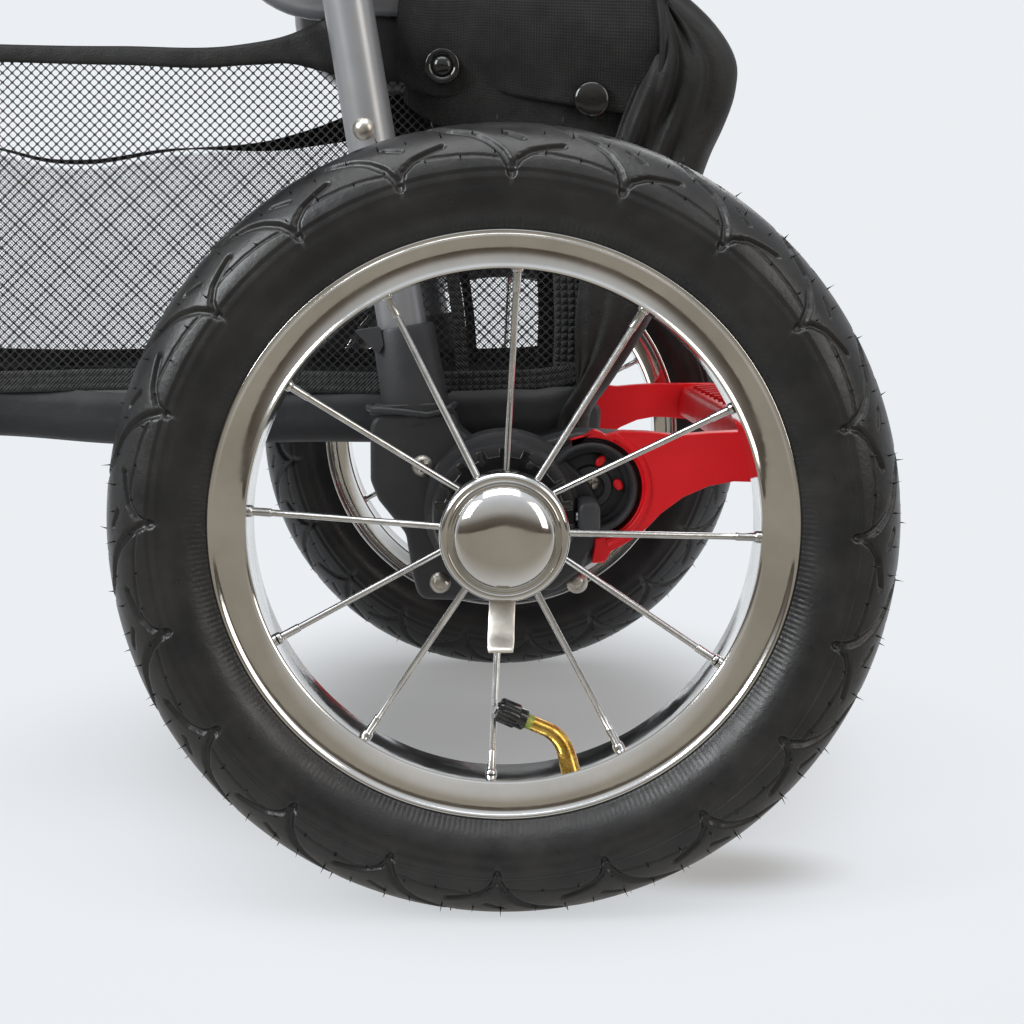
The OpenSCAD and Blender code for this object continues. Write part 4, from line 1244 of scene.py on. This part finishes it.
def make_basket():
    for s, side, top, band in ((1, "left", NEAR_TOP, NEAR_BAND), (-1, "right", FAR_TOP, FAR_BAND)):
        def place(u, v):
            return np.stack([side_x(s, u, v) * MM, AXLE.y + u * MM, v * MM], -1)

        def keep(u, v):
            return v < float(glide(top, u)) - 3 and u < BASKET_BACK - 1

        # the far net is knitted at half the pitch, which lessens the moire between the two
        weave = {} if s > 0 else {"cell": (2.0, 0.975), "wide": 1.46}
        net = net_panel(f"{side}_basket_net", place, (BASKET_FRONT, BASKET_BACK), (203, 352), keep, **weave)
        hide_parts("basket")
        ys = np.arange(BASKET_FRONT, 61, 2.5)
        rows = []
        for t, out in ((1.0, -1.5), (1.0, 0.2), (0.97, 1.2), (0.8, 1.5), (0.5, 1.6), (0.2, 1.5), (0.0, 1.0)):
            high, deep = glide(top, ys), glide(band, ys)
            zs = high - deep * (1 - t)
            pinch = np.exp(-((ys + 70) / 16) ** 2)
            wave = 0.5 * np.sin(ys / 19 + 2 * s) + pinch * 1.6 * np.sin(ys / 3.1 + 5 * t)
            rows.append(np.stack([(side_x(s, ys, zs) + s * (out + wave)) * MM, AXLE.y + ys * MM, zs * MM],
                                 -1))
        cloth_grid(f"{side}_basket_binding", rows, "nylon")
        ys = np.arange(BASKET_FRONT, BASKET_BACK + 2, 3.0)
        for key, z0, z1, out, mat in (("band", 195.5, 204.5, 1.3, "webbing_coarse"),):
            rows = []
            for t in np.linspace(1, 0, 6):
                zs = z0 + (z1 - z0) * t + 0.8 * np.sin(ys / 31)
                lift = np.clip((ys - 8) / 25, 0, 1) ** 2 * 3
                rows.append(np.stack([(side_x(s, ys, zs) + s * out) * MM, AXLE.y + ys * MM,
                                      (zs + lift) * MM], -1))
            cloth_grid(f"{side}_basket_{key}", rows, mat)
        zs = np.arange(196, 346, 3.0)
        for key, y0, width, lean in (("front", BASKET_FRONT, 9, 0), ("mid", -19.5, 5.5, -0.1),
                                     ("back", 21, 13, 0)):
            rows = []
            for t in np.linspace(0, 1, 5):
                ys = y0 + width * t + lean * (zs - 200) + 0.5 * np.sin(zs / 11)
                rows.append(np.stack([(side_x(s, ys, zs) + s * 1.2) * MM, AXLE.y + ys * MM, zs * MM], -1))
            cloth_grid(f"{side}_basket_{key}_strip", rows, "webbing_coarse")
    # front net
    def front(u, v):
        lean = 3 * np.sin(np.pi * np.clip((v - 200) / 130, 0, 1))
        return np.stack([u * MM, AXLE.y + (BASKET_FRONT - lean * np.cos(u / 110)) * MM, v * MM], -1)

    net_panel("front_basket_net", front, (-BASKET_X, BASKET_X), (203, 336), lambda u, v: v < 333)
    xs = np.linspace(-BASKET_X - 1, BASKET_X + 1, 100)
    for key, z0, z1 in (("binding", 330, 338), ("band", 195.5, 204.5)):
        rows = [np.stack([xs * MM, AXLE.y + (BASKET_FRONT - 1.8 + 0 * xs) * MM,
                          (z0 + (z1 - z0) * t + 0 * xs) * MM], -1)
                for t in np.linspace(1, 0, 5)]
        cloth_grid(f"front_basket_{key}", rows, "nylon" if key == "binding" else "webbing_coarse")
    # base: smooth panels that turn under, round a stiff board
    ys = np.arange(BASKET_FRONT - 2, 39, 3.0)
    rows = []
    half = BASKET_X + 1.4
    section = [(1, 22), (1, 15), (1.006, 10), (1.004, 5), (0.993, 2), (0.975, 0.4), (0.94, 0), (0.6, -1.2),
               (0.3, -2), (0, -2.2)]
    section += [(-a, b) for a, b in reversed(section[:-1])]
    low = glide(BASE, ys)
    for a, b in section:
        zs = np.minimum(low + b, 197) if abs(a) > 0.9 else low + b
        zs = np.where(abs(a) >= 1 and b >= 15, np.minimum(197.5, low + b), zs)
        ripple = 0.7 * np.sin(ys / 23 + a) + 0.5 * np.sin(ys / 9.0 + 2 * a) * (abs(a) > 0.9)
        rows.append(np.stack([(a * half + math.copysign(1, a) * ripple * (abs(a) > 0.9)) * MM,
                              AXLE.y + ys * MM, zs * MM], -1))
    cloth_grid("basket_base", rows, "base_panel", thick=1.2)
    rows = [np.stack([xs * MM, AXLE.y + (BASKET_FRONT - 2 + 0 * xs) * MM,
                      (183 + 14 * t - 3 * (1 - t) + 0 * xs) * MM], -1)
            for t in np.linspace(1, 0, 5)]
    cloth_grid("basket_base_front", rows, "base_panel", thick=1.2)
    board = plate("basket_board", rounded([(BASKET_FRONT + 2, 183.5), (30, 179), (30, 182),
                                           (BASKET_FRONT + 2, 186.5)], 1),
                  -0.158, 0.158, "plastic", "chassis", bevel=0.6)


# ---------------------------------------------------------------- rear drop panel and side sleeves
PANEL_BACK = [(176, 36), (186, 37), (200, 46), (222, 60), (235, 67), (260, 77), (286, 84), (296, 87.5),
              (306, 92),
              (321, 97), (333, 97.5), (346, 90.5), (357, 80), (366, 68), (376, 52)]
PANEL_EDGE = [(176, 32), (200, 31), (222, 30), (235, 31), (260, 35), (286, 42), (306, 48), (333, 58),
              (357, 62), (376, 60)]


def make_rear_panel():
    """Soft nylon that hangs behind the basket and wraps round both sides."""
    zs = np.arange(176, 377, 2.5)
    corner, half = 13, 171
    rows = []
    for z in zs[::-1]:
        back, edge = float(glide(PANEL_BACK, z)), float(glide(PANEL_EDGE, z))
        line = [(half, y) for y in np.linspace(edge, back - corner, 30)]
        line += [(half - corner + corner * math.cos(a), back - corner + corner * math.sin(a))
                 for a in np.linspace(0, math.pi / 2, 12)[1:]]
        line += [(x, back) for x in np.linspace(half - corner, -(half - corner), 70)[1:-1]]
        line += [(-(half - corner) - corner * math.sin(a), back - corner + corner * math.cos(a))
                 for a in np.linspace(0, math.pi / 2, 12)]
        line += [(-half, y) for y in np.linspace(back - corner, edge, 30)[1:]]
        row = []
        n = len(line)
        loose = float(ease((z - 262) / 45))
        for k, (x, y) in enumerate(line):
            s = k / (n - 1)
            near = abs(s - 0.5) * 2                        # 1 at the free edges, 0 in the middle of the back
            # long soft folds fan out from the top corner, and shallow ones cross the back
            fan = math.sin(k * 0.42 - z * 0.045) + 0.5 * math.sin(k * 0.9 + z * 0.07)
            swell = loose * (2.2 * fan * ease(near * 2 - 0.7) + 2.0 * math.sin(k * 0.11 + 1.3))
            swell += 1.1 * math.sin(z / 17 + 6 * s) + 0.6 * math.sin(k * 0.5 + z / 8)
            swell += 5.0 * loose * math.exp(-((z - 325) / 20) ** 2) * ease(near * 3 - 1.6)
            away = Vector((x, (y - 20) * 0.6)).normalized()
            row.append(((x + away.x * swell) * MM, AXLE.y + (y + away.y * swell * 0.5) * MM, z * MM))
        rows.append(row)
    cloth_grid("rear_drop_panel", rows, "nylon", thick=1.0)


SLEEVE_HEM = [(-43, 330), (-38, 323), (-30, 318.5), (-22, 318), (-11, 321), (5, 318), (26, 314.5),
              (45, 311.5), (66, 309.5)]
UNDER_HEM = [(-43, 322), (-34, 312), (-24, 305), (-8, 300), (30, 296), (66, 292)]


def sleeve_layer(name, hem, front, back, inset, mat, bulge, wrinkle, thick):
    """Cloth wrapped over a seat tube and buttoned below it.

    The section runs from the inner side over the top.
    """
    ys = np.arange(front, back + 0.1, 2.0)
    low = glide(hem, ys)
    over = [(143.2, 351), (143.0, 358), (144.2, 366), (148, 373.5), (154, 378.6), (160, 380), (167, 378.4),
            (173, 373.2), (176.4, 366)]
    rows = []
    for x, z in over:
        rows.append(np.stack([(x + 0 * ys) * MM, AXLE.y + ys * MM, (z + 0 * ys) * MM], -1))
    for t in np.linspace(0.05, 1, 26):
        zs = 362 + (low - 362) * t
        out = 178.2 + bulge * np.sin(math.pi * min(1, t * 1.15)) - 5.5 * t ** 2 - inset
        fold = wrinkle * (np.sin(ys / 7.5 + 5 * t) * 0.5 + np.sin(ys / 17 - 7 * t + 1)
                          + 0.6 * np.sin(zs / 5 + ys / 31))
        edge = 2.5 * np.exp(-((ys - front) / 5) ** 2) + 2.5 * np.exp(-((ys - back) / 5) ** 2)
        pull = sum(2.2 * np.exp(-((ys - y0) / 9) ** 2 - ((zs - z0) / 9) ** 2) for y0,
                   z0 in ((-25, 329.5), (36.5, 316.3)))
        rows.append(np.stack([(out + fold * t - edge - pull) * MM,
                              AXLE.y + (ys - 3 * t * np.exp(-((ys - front) / 9) ** 2)) * MM,
                              zs * MM], -1))
    left = cloth_grid("left_" + name, rows, mat, None, thick)
    mirror_cloth(left, "right_" + name)
    return left


def mirror_cloth(obj, name):
    """Copies a left cloth piece to the right side, with its solidify."""
    mesh = obj.data.copy()
    co = np.empty(len(mesh.vertices) * 3, np.float32)
    mesh.vertices.foreach_get("co", co)
    co[0::3] *= -1
    mesh.vertices.foreach_set("co", co)
    mesh.flip_normals()
    twin = bpy.data.objects.new(name, mesh)
    bpy.context.collection.objects.link(twin)
    for mod in obj.modifiers:
        new = twin.modifiers.new(mod.name, mod.type)
        if mod.type == "SOLIDIFY":
            new.thickness, new.offset = mod.thickness, mod.offset
    for piece in (obj, twin):
        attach(piece, "chassis")
    return twin


def make_sleeves():
    outer = sleeve_layer("sleeve_wrap", SLEEVE_HEM, -42, 64, 0, "polyester", 3.2, 0.8, 1.6)
    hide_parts("side_sleeves")
    sleeve_layer("sleeve_under", UNDER_HEM, -38, 68, 4.5, "polyester", 1.5, 0.8, 1.6)
    line = [from_axle(179.5 + 3 * math.sin(math.pi * min(1, t * 1.15)) - 5.5 * t * t,
                      62.5 + 2.5 * math.sin(math.pi * t),
                      362 - 52 * t) for t in np.linspace(0, 1, 30)]
    both(sweep("left_sleeve_piping", line, 1.25 * MM, "nylon", sides=12), "chassis", None)
    socket = [(175.5, 0.4), (177.6, 0.4), (177.6, 3.9), (178.3, 4.4), (178.9, 5.4), (179.1, 6.4),
              (178.6, 7.2), (177.4, 7.5),
              (175.5, 7.3)]
    dome = [(176.5, 0.3), (176.5, 4.1), (177.9, 4.2)] + [(178.0 + 2.1 * math.sin(a), 4.1 * math.cos(a))
                                                         for a in np.linspace(0.1, 1.5, 10)]
    flat = [(173.5, 0.3), (173.5, 7.2), (175.6, 7.5), (176.6, 7.0), (177.0, 6.0), (177.25, 4), (177.35, 0.3)]
    for i, (profile, y, z) in enumerate(((socket, -25, 329.5), (dome, -25, 329.5), (flat, 36.5, 316.3))):
        snap = lathe(f"left_snap_{i}", profile, "gloss_black", Vector((0, AXLE.y + y * MM, z * MM)), 64, 45)
        both(snap, "chassis", None)


make_frame()
make_basket()
make_rear_panel()
make_sleeves()


# ---------------------------------------------------------------- soft goods
def puff(name, outline, x0, x1, body, pins, voxel=0.005, pressure=4.0, cap=0.006, lean=None):
    """A stuffed pad: a closed shape, remeshed and blown up by Cloth while its sewn lines hold still.

    The outline is drawn across X and lean then puts it in place. pins(p) gives 0 to 1 for points of the
    mesh."""
    obj = plate(name, outline, x0, x1, "padding", None, bevel=5, segments=4)
    if lean:
        obj.data.transform(lean)
    mesh = baked(obj)
    for other in list(obj.modifiers):
        obj.modifiers.remove(other)
    obj.data = mesh
    remesh = obj.modifiers.new("grid", "REMESH")
    remesh.mode, remesh.voxel_size = "VOXEL", voxel
    obj.data = baked(obj)
    obj.modifiers.remove(remesh)
    start = coordinates(obj.data)
    hold = pins(start)
    group = obj.vertex_groups.new(name="sewn")
    for i in np.nonzero(hold > 0.02)[0]:
        group.add([int(i)], float(hold[i]), "REPLACE")
    cloth = obj.modifiers.new("cloth", "CLOTH")
    s = cloth.settings
    s.quality, s.use_pressure, s.uniform_pressure_force = 6, True, pressure
    s.effector_weights.gravity = 0
    s.vertex_group_mass = "sewn"
    s.tension_stiffness, s.compression_stiffness, s.bending_stiffness = 12, 12, 0.4
    cloth.point_cache.frame_start, cloth.point_cache.frame_end = 1, 20
    for frame in range(1, 21):
        bpy.context.scene.frame_set(frame)
    end = coordinates(baked(obj))
    obj.modifiers.remove(cloth)
    bpy.context.scene.frame_set(1)
    move = end - start
    far = np.linalg.norm(move, axis=1, keepdims=True)
    move *= np.minimum(1, cap / np.maximum(far, 1e-9))
    obj.data.vertices.foreach_set("co", (start + move).astype(np.float32).ravel())
    obj.vertex_groups.clear()
    finer = obj.modifiers.new("finer", "SUBSURF")
    finer.levels = finer.render_levels = 1
    obj.data = baked(obj)
    obj.modifiers.remove(finer)
    obj.data.materials.clear()
    obj.data.materials.append(MATS["padding"])
    obj.data.shade_smooth()
    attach(obj, body)
    return obj


def baked(obj):
    """The object's mesh with its modifiers applied."""
    bpy.context.view_layer.update()
    return bpy.data.meshes.new_from_object(obj.evaluated_get(bpy.context.evaluated_depsgraph_get()))


def coordinates(mesh):
    co = np.empty(len(mesh.vertices) * 3, np.float32)
    mesh.vertices.foreach_get("co", co)
    return co.reshape(-1, 3).astype(float)


def near_path(p, path, reach):
    """1 on a path of points and 0 beyond reach from it."""
    best = np.full(len(p), 9.0)
    for a, b in zip(path, path[1:]):
        a, b = np.array(a), np.array(b)
        d = b - a
        t = np.clip(((p - a) @ d) / (d @ d), 0, 1)
        best = np.minimum(best, np.linalg.norm(p - a - t[:, None] * d, axis=1))
    return np.clip(1.6 - 1.6 * best / reach, 0, 1)


def surface_at(obj, points, direction, lift):
    """Moves points along direction onto the outside of obj, lift metres above it."""
    inverse = obj.matrix_world.inverted()
    turn = inverse.to_3x3()
    out = []
    bpy.context.view_layer.update()
    for p in points:
        p = Vector(p)
        hit, place, _, _ = obj.ray_cast(inverse @ (p + 0.08 * direction), turn @ -direction)
        out.append(obj.matrix_world @ place + direction * lift if hit else p + direction * lift)
    return out


def strap(name, points, width, thick, across, mat, body):
    """A flat band along points. across is its width direction, made square to the path; edges are rounded."""
    line = dense([Vector(p) for p in points], 0.003)
    half = width / 2
    section = [(half, 0)] + [(half - thick * 0.3, thick * 0.45), (half * 0.5, thick * 0.5), (0, thick * 0.5),
                             (-half * 0.5, thick * 0.5), (-half + thick * 0.3, thick * 0.45), (-half, 0),
                             (-half + thick * 0.3, -thick * 0.45), (0, -thick * 0.5),
                             (half - thick * 0.3, -thick * 0.45)]
    verts, uv, run = [], [], 0.0
    for i, p in enumerate(line):
        ahead = (line[min(i + 1, len(line) - 1)] - line[max(i - 1, 0)]).normalized()
        side = (across - ahead * across.dot(ahead)).normalized()
        up = side.cross(ahead)
        if i:
            run += (p - line[i - 1]).length
        for a, b in section:
            verts.append(p + side * a + up * b)
            uv.append((run, a))
    n = len(section)
    faces = grid_faces(len(line), n, False, True)
    faces += [tuple(range(n))[::-1], tuple((len(line) - 1) * n + k for k in range(n))]
    obj = new_piece(name, verts, faces, mat, uv=uv, crease=50)
    fix_normals(obj)
    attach(obj, body)
    return obj


def block(name, size, place, mat, body, bevel=2.0):
    """A rounded box of size mm, put in place by a matrix."""
    x, y, z = (v / 2 * MM for v in size)
    verts = [(sx * x, sy * y, sz * z) for sx in (-1, 1) for sy in (-1, 1) for sz in (-1, 1)]
    faces = [(0, 1, 3, 2), (4, 6, 7, 5), (0, 4, 5, 1), (2, 3, 7, 6), (0, 2, 6, 4), (1, 5, 7, 3)]
    obj = new_piece(name, verts, faces, mat)
    edge = obj.modifiers.new("edge", "BEVEL")
    edge.width, edge.segments = bevel * MM, 4
    obj.data = baked(obj)
    obj.modifiers.remove(edge)
    obj.data.transform(place)
    obj.data.shade_smooth()
    obj.data.set_sharp_from_angle(angle=math.radians(50))
    if body:
        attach(obj, body)
    return obj


# ---- canopy
BOWS = (50, 88, 126)
BOW_X, BOW_R = (146.4, 142.9, 139.3), (403.0, 399.6, 396.2)


def hood_section(half, top, corner=92, low=150, steps=150):
    """Points across the hood, as x and radius, from its left edge over the top to its right edge."""
    side, bend = top - corner - low, corner * math.pi / 2
    flat = half - corner
    total = side + bend + flat
    points = []
    for t in np.linspace(-1, 1, steps):
        d = total * abs(t)                                   # measured from the middle of the top
        if d < flat:
            x, r = d, top
        elif d < flat + bend:
            a = (d - flat) / corner
            x, r = flat + corner * math.sin(a), top - corner + corner * math.cos(a)
        else:
            x, r = half, top - corner - (d - flat - bend)
        points.append((-math.copysign(x, t) if t else x, r))
    return points


def hood_grid(start, end, columns, half, top, sag, wave=0.0):
    """A grid of hood points in metres. half, top and sag are functions of the share of the way along."""
    rows = []
    for i in range(columns + 1):
        t = i / columns
        a = math.radians(start + (end - start) * t)
        row = []
        section = hood_section(half(t), top(t))
        for k, (x, r) in enumerate(section):
            u = k / (len(section) - 1)
            edge = abs(2 * u - 1)
            drop = sag * math.sin(math.pi * t) * (0.55 + 0.45 * math.cos(4 * math.pi * u))
            ripple = (wave * (math.sin(21 * u + 5 * t) + math.sin(37 * u - 3 * t + 1) * 0.6)
                      * math.sin(math.pi * t))
            low = ease((edge - 0.72) / 0.28)
            side = 1 - 0.008 * sag * math.sin(math.pi * t) * float(low)
            r -= (drop + ripple) * (1 - float(low)) + float(low) * 5 * math.sin(math.pi * t)
            x = x * side + (ripple * 1.2 * float(low) if x > 0 else -ripple * 1.2 * float(low))
            row.append((x * MM, HINGE.y + r * MM * math.cos(a), HINGE.z + r * MM * math.sin(a)))
        rows.append(row)
    return rows


def make_canopy():
    def along(values, i):
        return lambda t: values[i] + (values[i + 1] - values[i]) * t

    for i, (name, node, bodies) in enumerate((
            ("canopy_rear_cloth", "canopy_rear_panel", ("chassis", "canopy_mid")),
            ("canopy_front_cloth", "canopy_front_panel", ("canopy_mid", "canopy_front")))):
        a, b = BOWS[i], BOWS[i + 1]
        grid = hood_grid(a, b, 44, along(BOW_X, i), along(BOW_R, i), 5.0, wave=0.5)
        cloth = cloth_grid(name, grid, "polyester", None, 1.0)
        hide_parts(node)
        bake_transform(cloth)
    # seams over each bow, binding at the front and the free edge at the rear
    for i, (angle, body) in enumerate(zip(BOWS, ("chassis", "canopy_mid", "canopy_front"))):
        for k, shift in enumerate((-1.3, 1.3) if i < 2 else (-1.6,)):
            a = math.radians(angle + shift)
            line = [Vector((x * MM, HINGE.y + r * MM * math.cos(a), HINGE.z + r * MM * math.sin(a)))
                    for x, r in hood_section(BOW_X[i] + 0.9, BOW_R[i] + 0.9)]
            sweep(f"canopy_seam_{i}_{k}", line, 0.75 * MM, "nylon", body, sides=8)
    for name, angle, i, body, r0 in (("canopy_front_binding", BOWS[2] + 1.2, 2, "canopy_front", 0.8),
                                     ("canopy_rear_binding", BOWS[0] - 5.6, 0, "chassis", -3.6)):
        a = math.radians(angle)
        line = [Vector((x * MM, HINGE.y + r * MM * math.cos(a), HINGE.z + r * MM * math.sin(a)))
                for x, r in hood_section(BOW_X[i] + r0 * 0.4, BOW_R[i] + r0)]
        sweep(name, line, 2.4 * MM, "nylon", body, sides=12)
    hem = cloth_grid("canopy_rear_hem", hood_grid(BOWS[0], BOWS[0] - 5.6, 8, lambda t: BOW_X[0] - 1.4 * t,
                                                  lambda t: BOW_R[0] - 3.6 * t, 0.0), "polyester",
                                                  "chassis", 1.0)
    for node in ("canopy_rear_bow", "canopy_mid_bow", "canopy_front_bow"):
        data = bpy.data.objects[node].data
        data.materials.clear()
        data.materials.append(MATS["plastic"])


# ---- seat
SEAT_TOP = [(-258, 446), (-240, 445), (-190, 440), (-120, 430.5), (-70, 420), (-30, 411), (-4, 405)]
SEAT_LOOP = [(132, -6, 399), (132, -70, 413), (132, -120, 426), (132, -190, 436), (132, -262, 440),
             (126, -270, 439),
             (-126, -270, 439), (-132, -262, 440), (-132, -190, 436), (-132, -120, 426), (-132, -70, 413),
             (-132, -6, 399), (132, -6, 399)]


def make_seat():
    outline = [(-4, 405), (-30, 411), (-70, 420), (-120, 430.5), (-190, 440), (-240, 446), (-262, 447.5),
               (-276, 437),
               (-274, 426), (-112, 420), (-54, 386), (-4, 384)]
    outline = [(AXLE.y + y * MM, z * MM) for y, z in outline]
    loop = [tuple(from_axle(*p)) for p in SEAT_LOOP]
    tops = [[tuple(from_axle(x, y, z)) for y, z in SEAT_TOP] for x in (-84, 84)]
    across = [[tuple(from_axle(x, y, z)) for x in np.linspace(-132, 132, 7)] for y,
              z in ((-128, 432), (-196, 441))]
    across[1] = across[1][1:-1]

    def pins(p):
        hold = near_path(p, loop, 0.006)
        for path in tops + across:
            hold = np.maximum(hold, near_path(p, path, 0.006))
        return hold

    pad = puff("seat_cushion", outline, -0.134, 0.134, "chassis", pins)
    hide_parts("seat_pad")
    edge = dense(bent([from_axle(x, y, z) for x, y,
                       z in ((0, -270.5, 440), (134.5, -270.5, 440), (134.5, -120, 427),
                                                           (134.5, -4, 400))], 0.02), 0.004)
    both(sweep("left_seat_piping", edge, 1.6 * MM, "nylon", sides=10), "chassis", None)
    # the sling that carries the pad
    low = [(22, 371.3), (-20, 371.6), (-60, 375.3), (-92, 393), (-118, 409.3), (-200, 411.6), (-290, 414.3),
           (-380, 408.3),
           (-470, 401.5)]
    xs = np.linspace(-140.6, 140.6, 80)
    rows = []
    for y, z in [(float(y), float(np.interp(-y, [-a for a, _ in low],
                                            [b for _, b in low]))) for y in np.arange(22, -471, -6)]:
        sag = 1.2 * (xs / 140) ** 2 + 0.25 * np.sin(xs / 19 + y / 23)
        rows.append(np.stack([xs * MM, AXLE.y + (y + 0 * xs) * MM, (z - 0.6 + sag) * MM], -1))
    sling = cloth_grid("seat_sling_base", rows, "polyester", "chassis", 1.0)
    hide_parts("seat_sling")
    high = [(22, 396), (-10, 418), (-40, 440), (-70, 494), (-98, 543), (-118, 553), (-140, 558),
            (-230, 529), (-318, 499),
            (-420, 449), (-470, 421)]
    ys = np.arange(22, -471, -4.0)
    bottom = np.interp(-ys, [-a for a, _ in low], [b for _, b in low]) - 0.4
    top = np.interp(-ys, [-a for a, _ in high], [b for _, b in high])
    rows = []
    for t in np.linspace(0, 1, 40):
        zs = bottom + (top - bottom) * t
        out = 140.7 + 1.6 * math.sin(math.pi * t) * np.clip((top - bottom) / 90, 0, 1)
        out = (out + 0.55 * np.sin(ys / 13 + 6 * t) * math.sin(math.pi * t)
               + 0.4 * np.sin(zs / 9 - ys / 29) * math.sin(math.pi * t))
        rows.append(np.stack([out * MM, AXLE.y + ys * MM, zs * MM], -1))
    wing = cloth_grid("left_seat_wing", rows, "polyester", None, 1.0)
    twin = mirror_cloth(wing, "right_seat_wing")
    line = [from_axle(141, float(y), float(z)) for y, z in zip(ys, top)]
    both(sweep("left_seat_wing_binding", line, 1.9 * MM, "nylon", sides=10), "chassis", None)
    return pad


def make_harness(pad):
    up = Vector((0, math.sin(math.radians(12)), math.cos(math.radians(12))))
    for s, side in ((1, "left"), (-1, "right")):
        base = [from_axle(s * x, y, z) for x, y,
                z in ((133, 14, 405), (130, 4, 414), (112, -18, 422), (84, -52, 428),
                                                       (56, -84, 434), (36, -100, 439))]
        lifted = surface_at(pad, base[2:], Vector((0, 0, 1)), 0.0032)
        path = base[:2] + [max(p, q, key=lambda v: v.z) for p, q in zip(lifted, base[2:])]
        belt = strap(f"{side}_lap_strap", bent(path, 0.03), 0.025, 0.0017, (path[-1] - path[0]).cross(up),
                     "webbing",
                     "chassis")
        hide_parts("lap_harness")
    here = Matrix.Translation(from_axle(0, -110, 446.5)) @ Matrix.Rotation(math.radians(-12), 4, "X")
    body = block("buckle_body", (44, 42, 10), here, "gloss_black", "chassis", 3.4)
    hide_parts("buckle")
    for s, side in ((1, "left"), (-1, "right")):
        block(f"{side}_buckle_latch", (16, 26, 7.4), here @ Matrix.Translation((s * 27 * MM, 0.002, 0)),
              "plastic", "chassis", 2.4)
        block(f"{side}_buckle_loop", (7, 31, 4.4), here @ Matrix.Translation((s * 37 * MM, 0.002, 0)),
              "plastic", "chassis", 1.8)
    button = lathe("buckle_button", [(4.6, 9.4), (5.6, 9.2), (6.2, 8.2), (6.1, 5), (5.9, 0.01)], "red",
                   Vector((0, 0, 0)), 64, 40)
    button.data.transform(here @ Matrix.Rotation(math.radians(-90), 4, "Y"))
    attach(button, "chassis")
    drop = [from_axle(0, y, z) for y, z in ((-134, 449), (-150, 446), (-176, 450), (-206, 452))]
    path = [here @ Vector((0, -0.018, 0))] + surface_at(pad, drop, Vector((0, 0, 1)), 0.002)
    strap("crotch_strap", bent(path, 0.02), 0.028, 0.0019, Vector((1, 0, 0)), "webbing", "chassis")


# ---- backrest
LEAN = math.radians(15)
UP, OUT = Vector((0, math.sin(LEAN), math.cos(LEAN))), Vector((0, -math.cos(LEAN), math.sin(LEAN)))


def facing(place, x, y, z):
    """A matrix with these three axes as its columns."""
    return Matrix([(*row, p) for row, p in zip(zip(x, y, z), place)] + [(0, 0, 0, 1)])


def on_back(x, along, out):
    return Vector((x * MM, BACK.y, BACK.z)) + UP * (along * MM) + OUT * (out * MM)


def make_backrest():
    line = dense(bent([on_back(x, a, 0) for x, a in ((130, 12), (130, 440), (-130, 440), (-130, 12))],
                      0.045), 0.01)
    hoop = sweep("back_hoop", line, 7 * MM, "silver", "backrest", sides=40)
    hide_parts("back_frame")
    eye = [(126, 4.3), (126, 11.6), (127.4, 13), (132.6, 13), (134, 11.6), (134, 4.3)]
    both(lathe("left_back_eye", eye, "plastic", Vector((0, BACK.y, BACK.z)), 72, 40), "backrest", None)
    # the pad is drawn flat, as x and the way up the back, and then stood in place
    ring = [(cx + 30 * math.cos(math.radians(a0 + 15 * k)), cz + 30 * math.sin(math.radians(a0 + 15 * k)))
            for cx, cz, a0 in ((84, 418, 0), (-84, 418, 90), (-84, 60, 180), (84, 60, 270)) for k in range(7)]
    loop = [tuple(on_back(x, a, 21.5)) for x, a in ring + ring[:1]]
    seams = [[tuple(on_back(x, a, 32)) for a in (46, 240, 432)] for x in (-78, 78)]
    seams += [[tuple(on_back(x, a, 32)) for x in (-78, 0, 78)] for a in (130, 232, 334)]

    def pins(p):
        hold = near_path(p, loop, 0.005)
        for path in seams:
            hold = np.maximum(hold, near_path(p, path, 0.006))
        return hold

    pad = puff("back_cushion", [(x * MM, a * MM) for x, a in ring], 0.011, 0.032, "backrest", pins,
               lean=facing(on_back(0, 0, 0), OUT, Vector((1, 0, 0)), UP))
    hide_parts("back_pad")
    line = [Vector(p) + (Vector(p) - on_back(0, 240, 21.5)).normalized() * 0.0022 for p in loop]
    sweep("back_piping", dense(line, 0.006), 1.6 * MM, "nylon", "backrest", sides=10)
    for k, a in enumerate((70, 235, 400)):
        ring = [on_back(x, a, o) for x, o in ((-128, -8.4), (-137, -5), (-138.6, 0), (-136, 6), (-124, 6.4),
                                              (0, 5.6), (124, 6.4),
                                              (136, 6), (138.6, 0), (137, -5), (128, -8.4))]
        strap(f"back_band_{k}", bent(ring, 0.006), 0.03, 0.0016, UP, "webbing", "backrest")
    for s, side in ((1, "left"), (-1, "right")):
        flat = [on_back(s * (42 + 10 * (1 - t)), 92 + 300 * t, 36) for t in np.linspace(0, 1, 24)]
        path = surface_at(pad, flat, OUT, 0.0022)
        web = strap(f"{side}_shoulder_strap", path, 0.025, 0.0017, Vector((1, 0, 0)), "webbing", "backrest")
        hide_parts("shoulder_straps")
        pads = surface_at(pad, [on_back(s * (42 + 10 * (1 - t)), 92 + 300 * t,
                                        36) for t in np.linspace(0.42, 0.96, 20)], OUT, 0.0058)
        cover = strap(f"{side}_shoulder_pad", pads, 0.036, 0.0062, Vector((1, 0, 0)), "padding", "backrest")
        block(f"{side}_strap_slider", (31, 15, 3.6),
              facing(path[5] + OUT * 0.001, Vector((1, 0, 0)), UP, OUT), "plastic",
              "backrest", 1.4)


make_canopy()
cushion = make_seat()
make_harness(cushion)
make_backrest()

# the basket and its rear panel get their modifiers applied and a mesh of their own
for soft in list(bpy.data.objects):
    if (soft.type == "MESH" and soft.name != "basket"
            and ("basket" in soft.name or soft.name == "rear_drop_panel")):
        if soft.modifiers:
            soft.data = baked(soft)
            soft.modifiers.clear()
        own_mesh(soft)
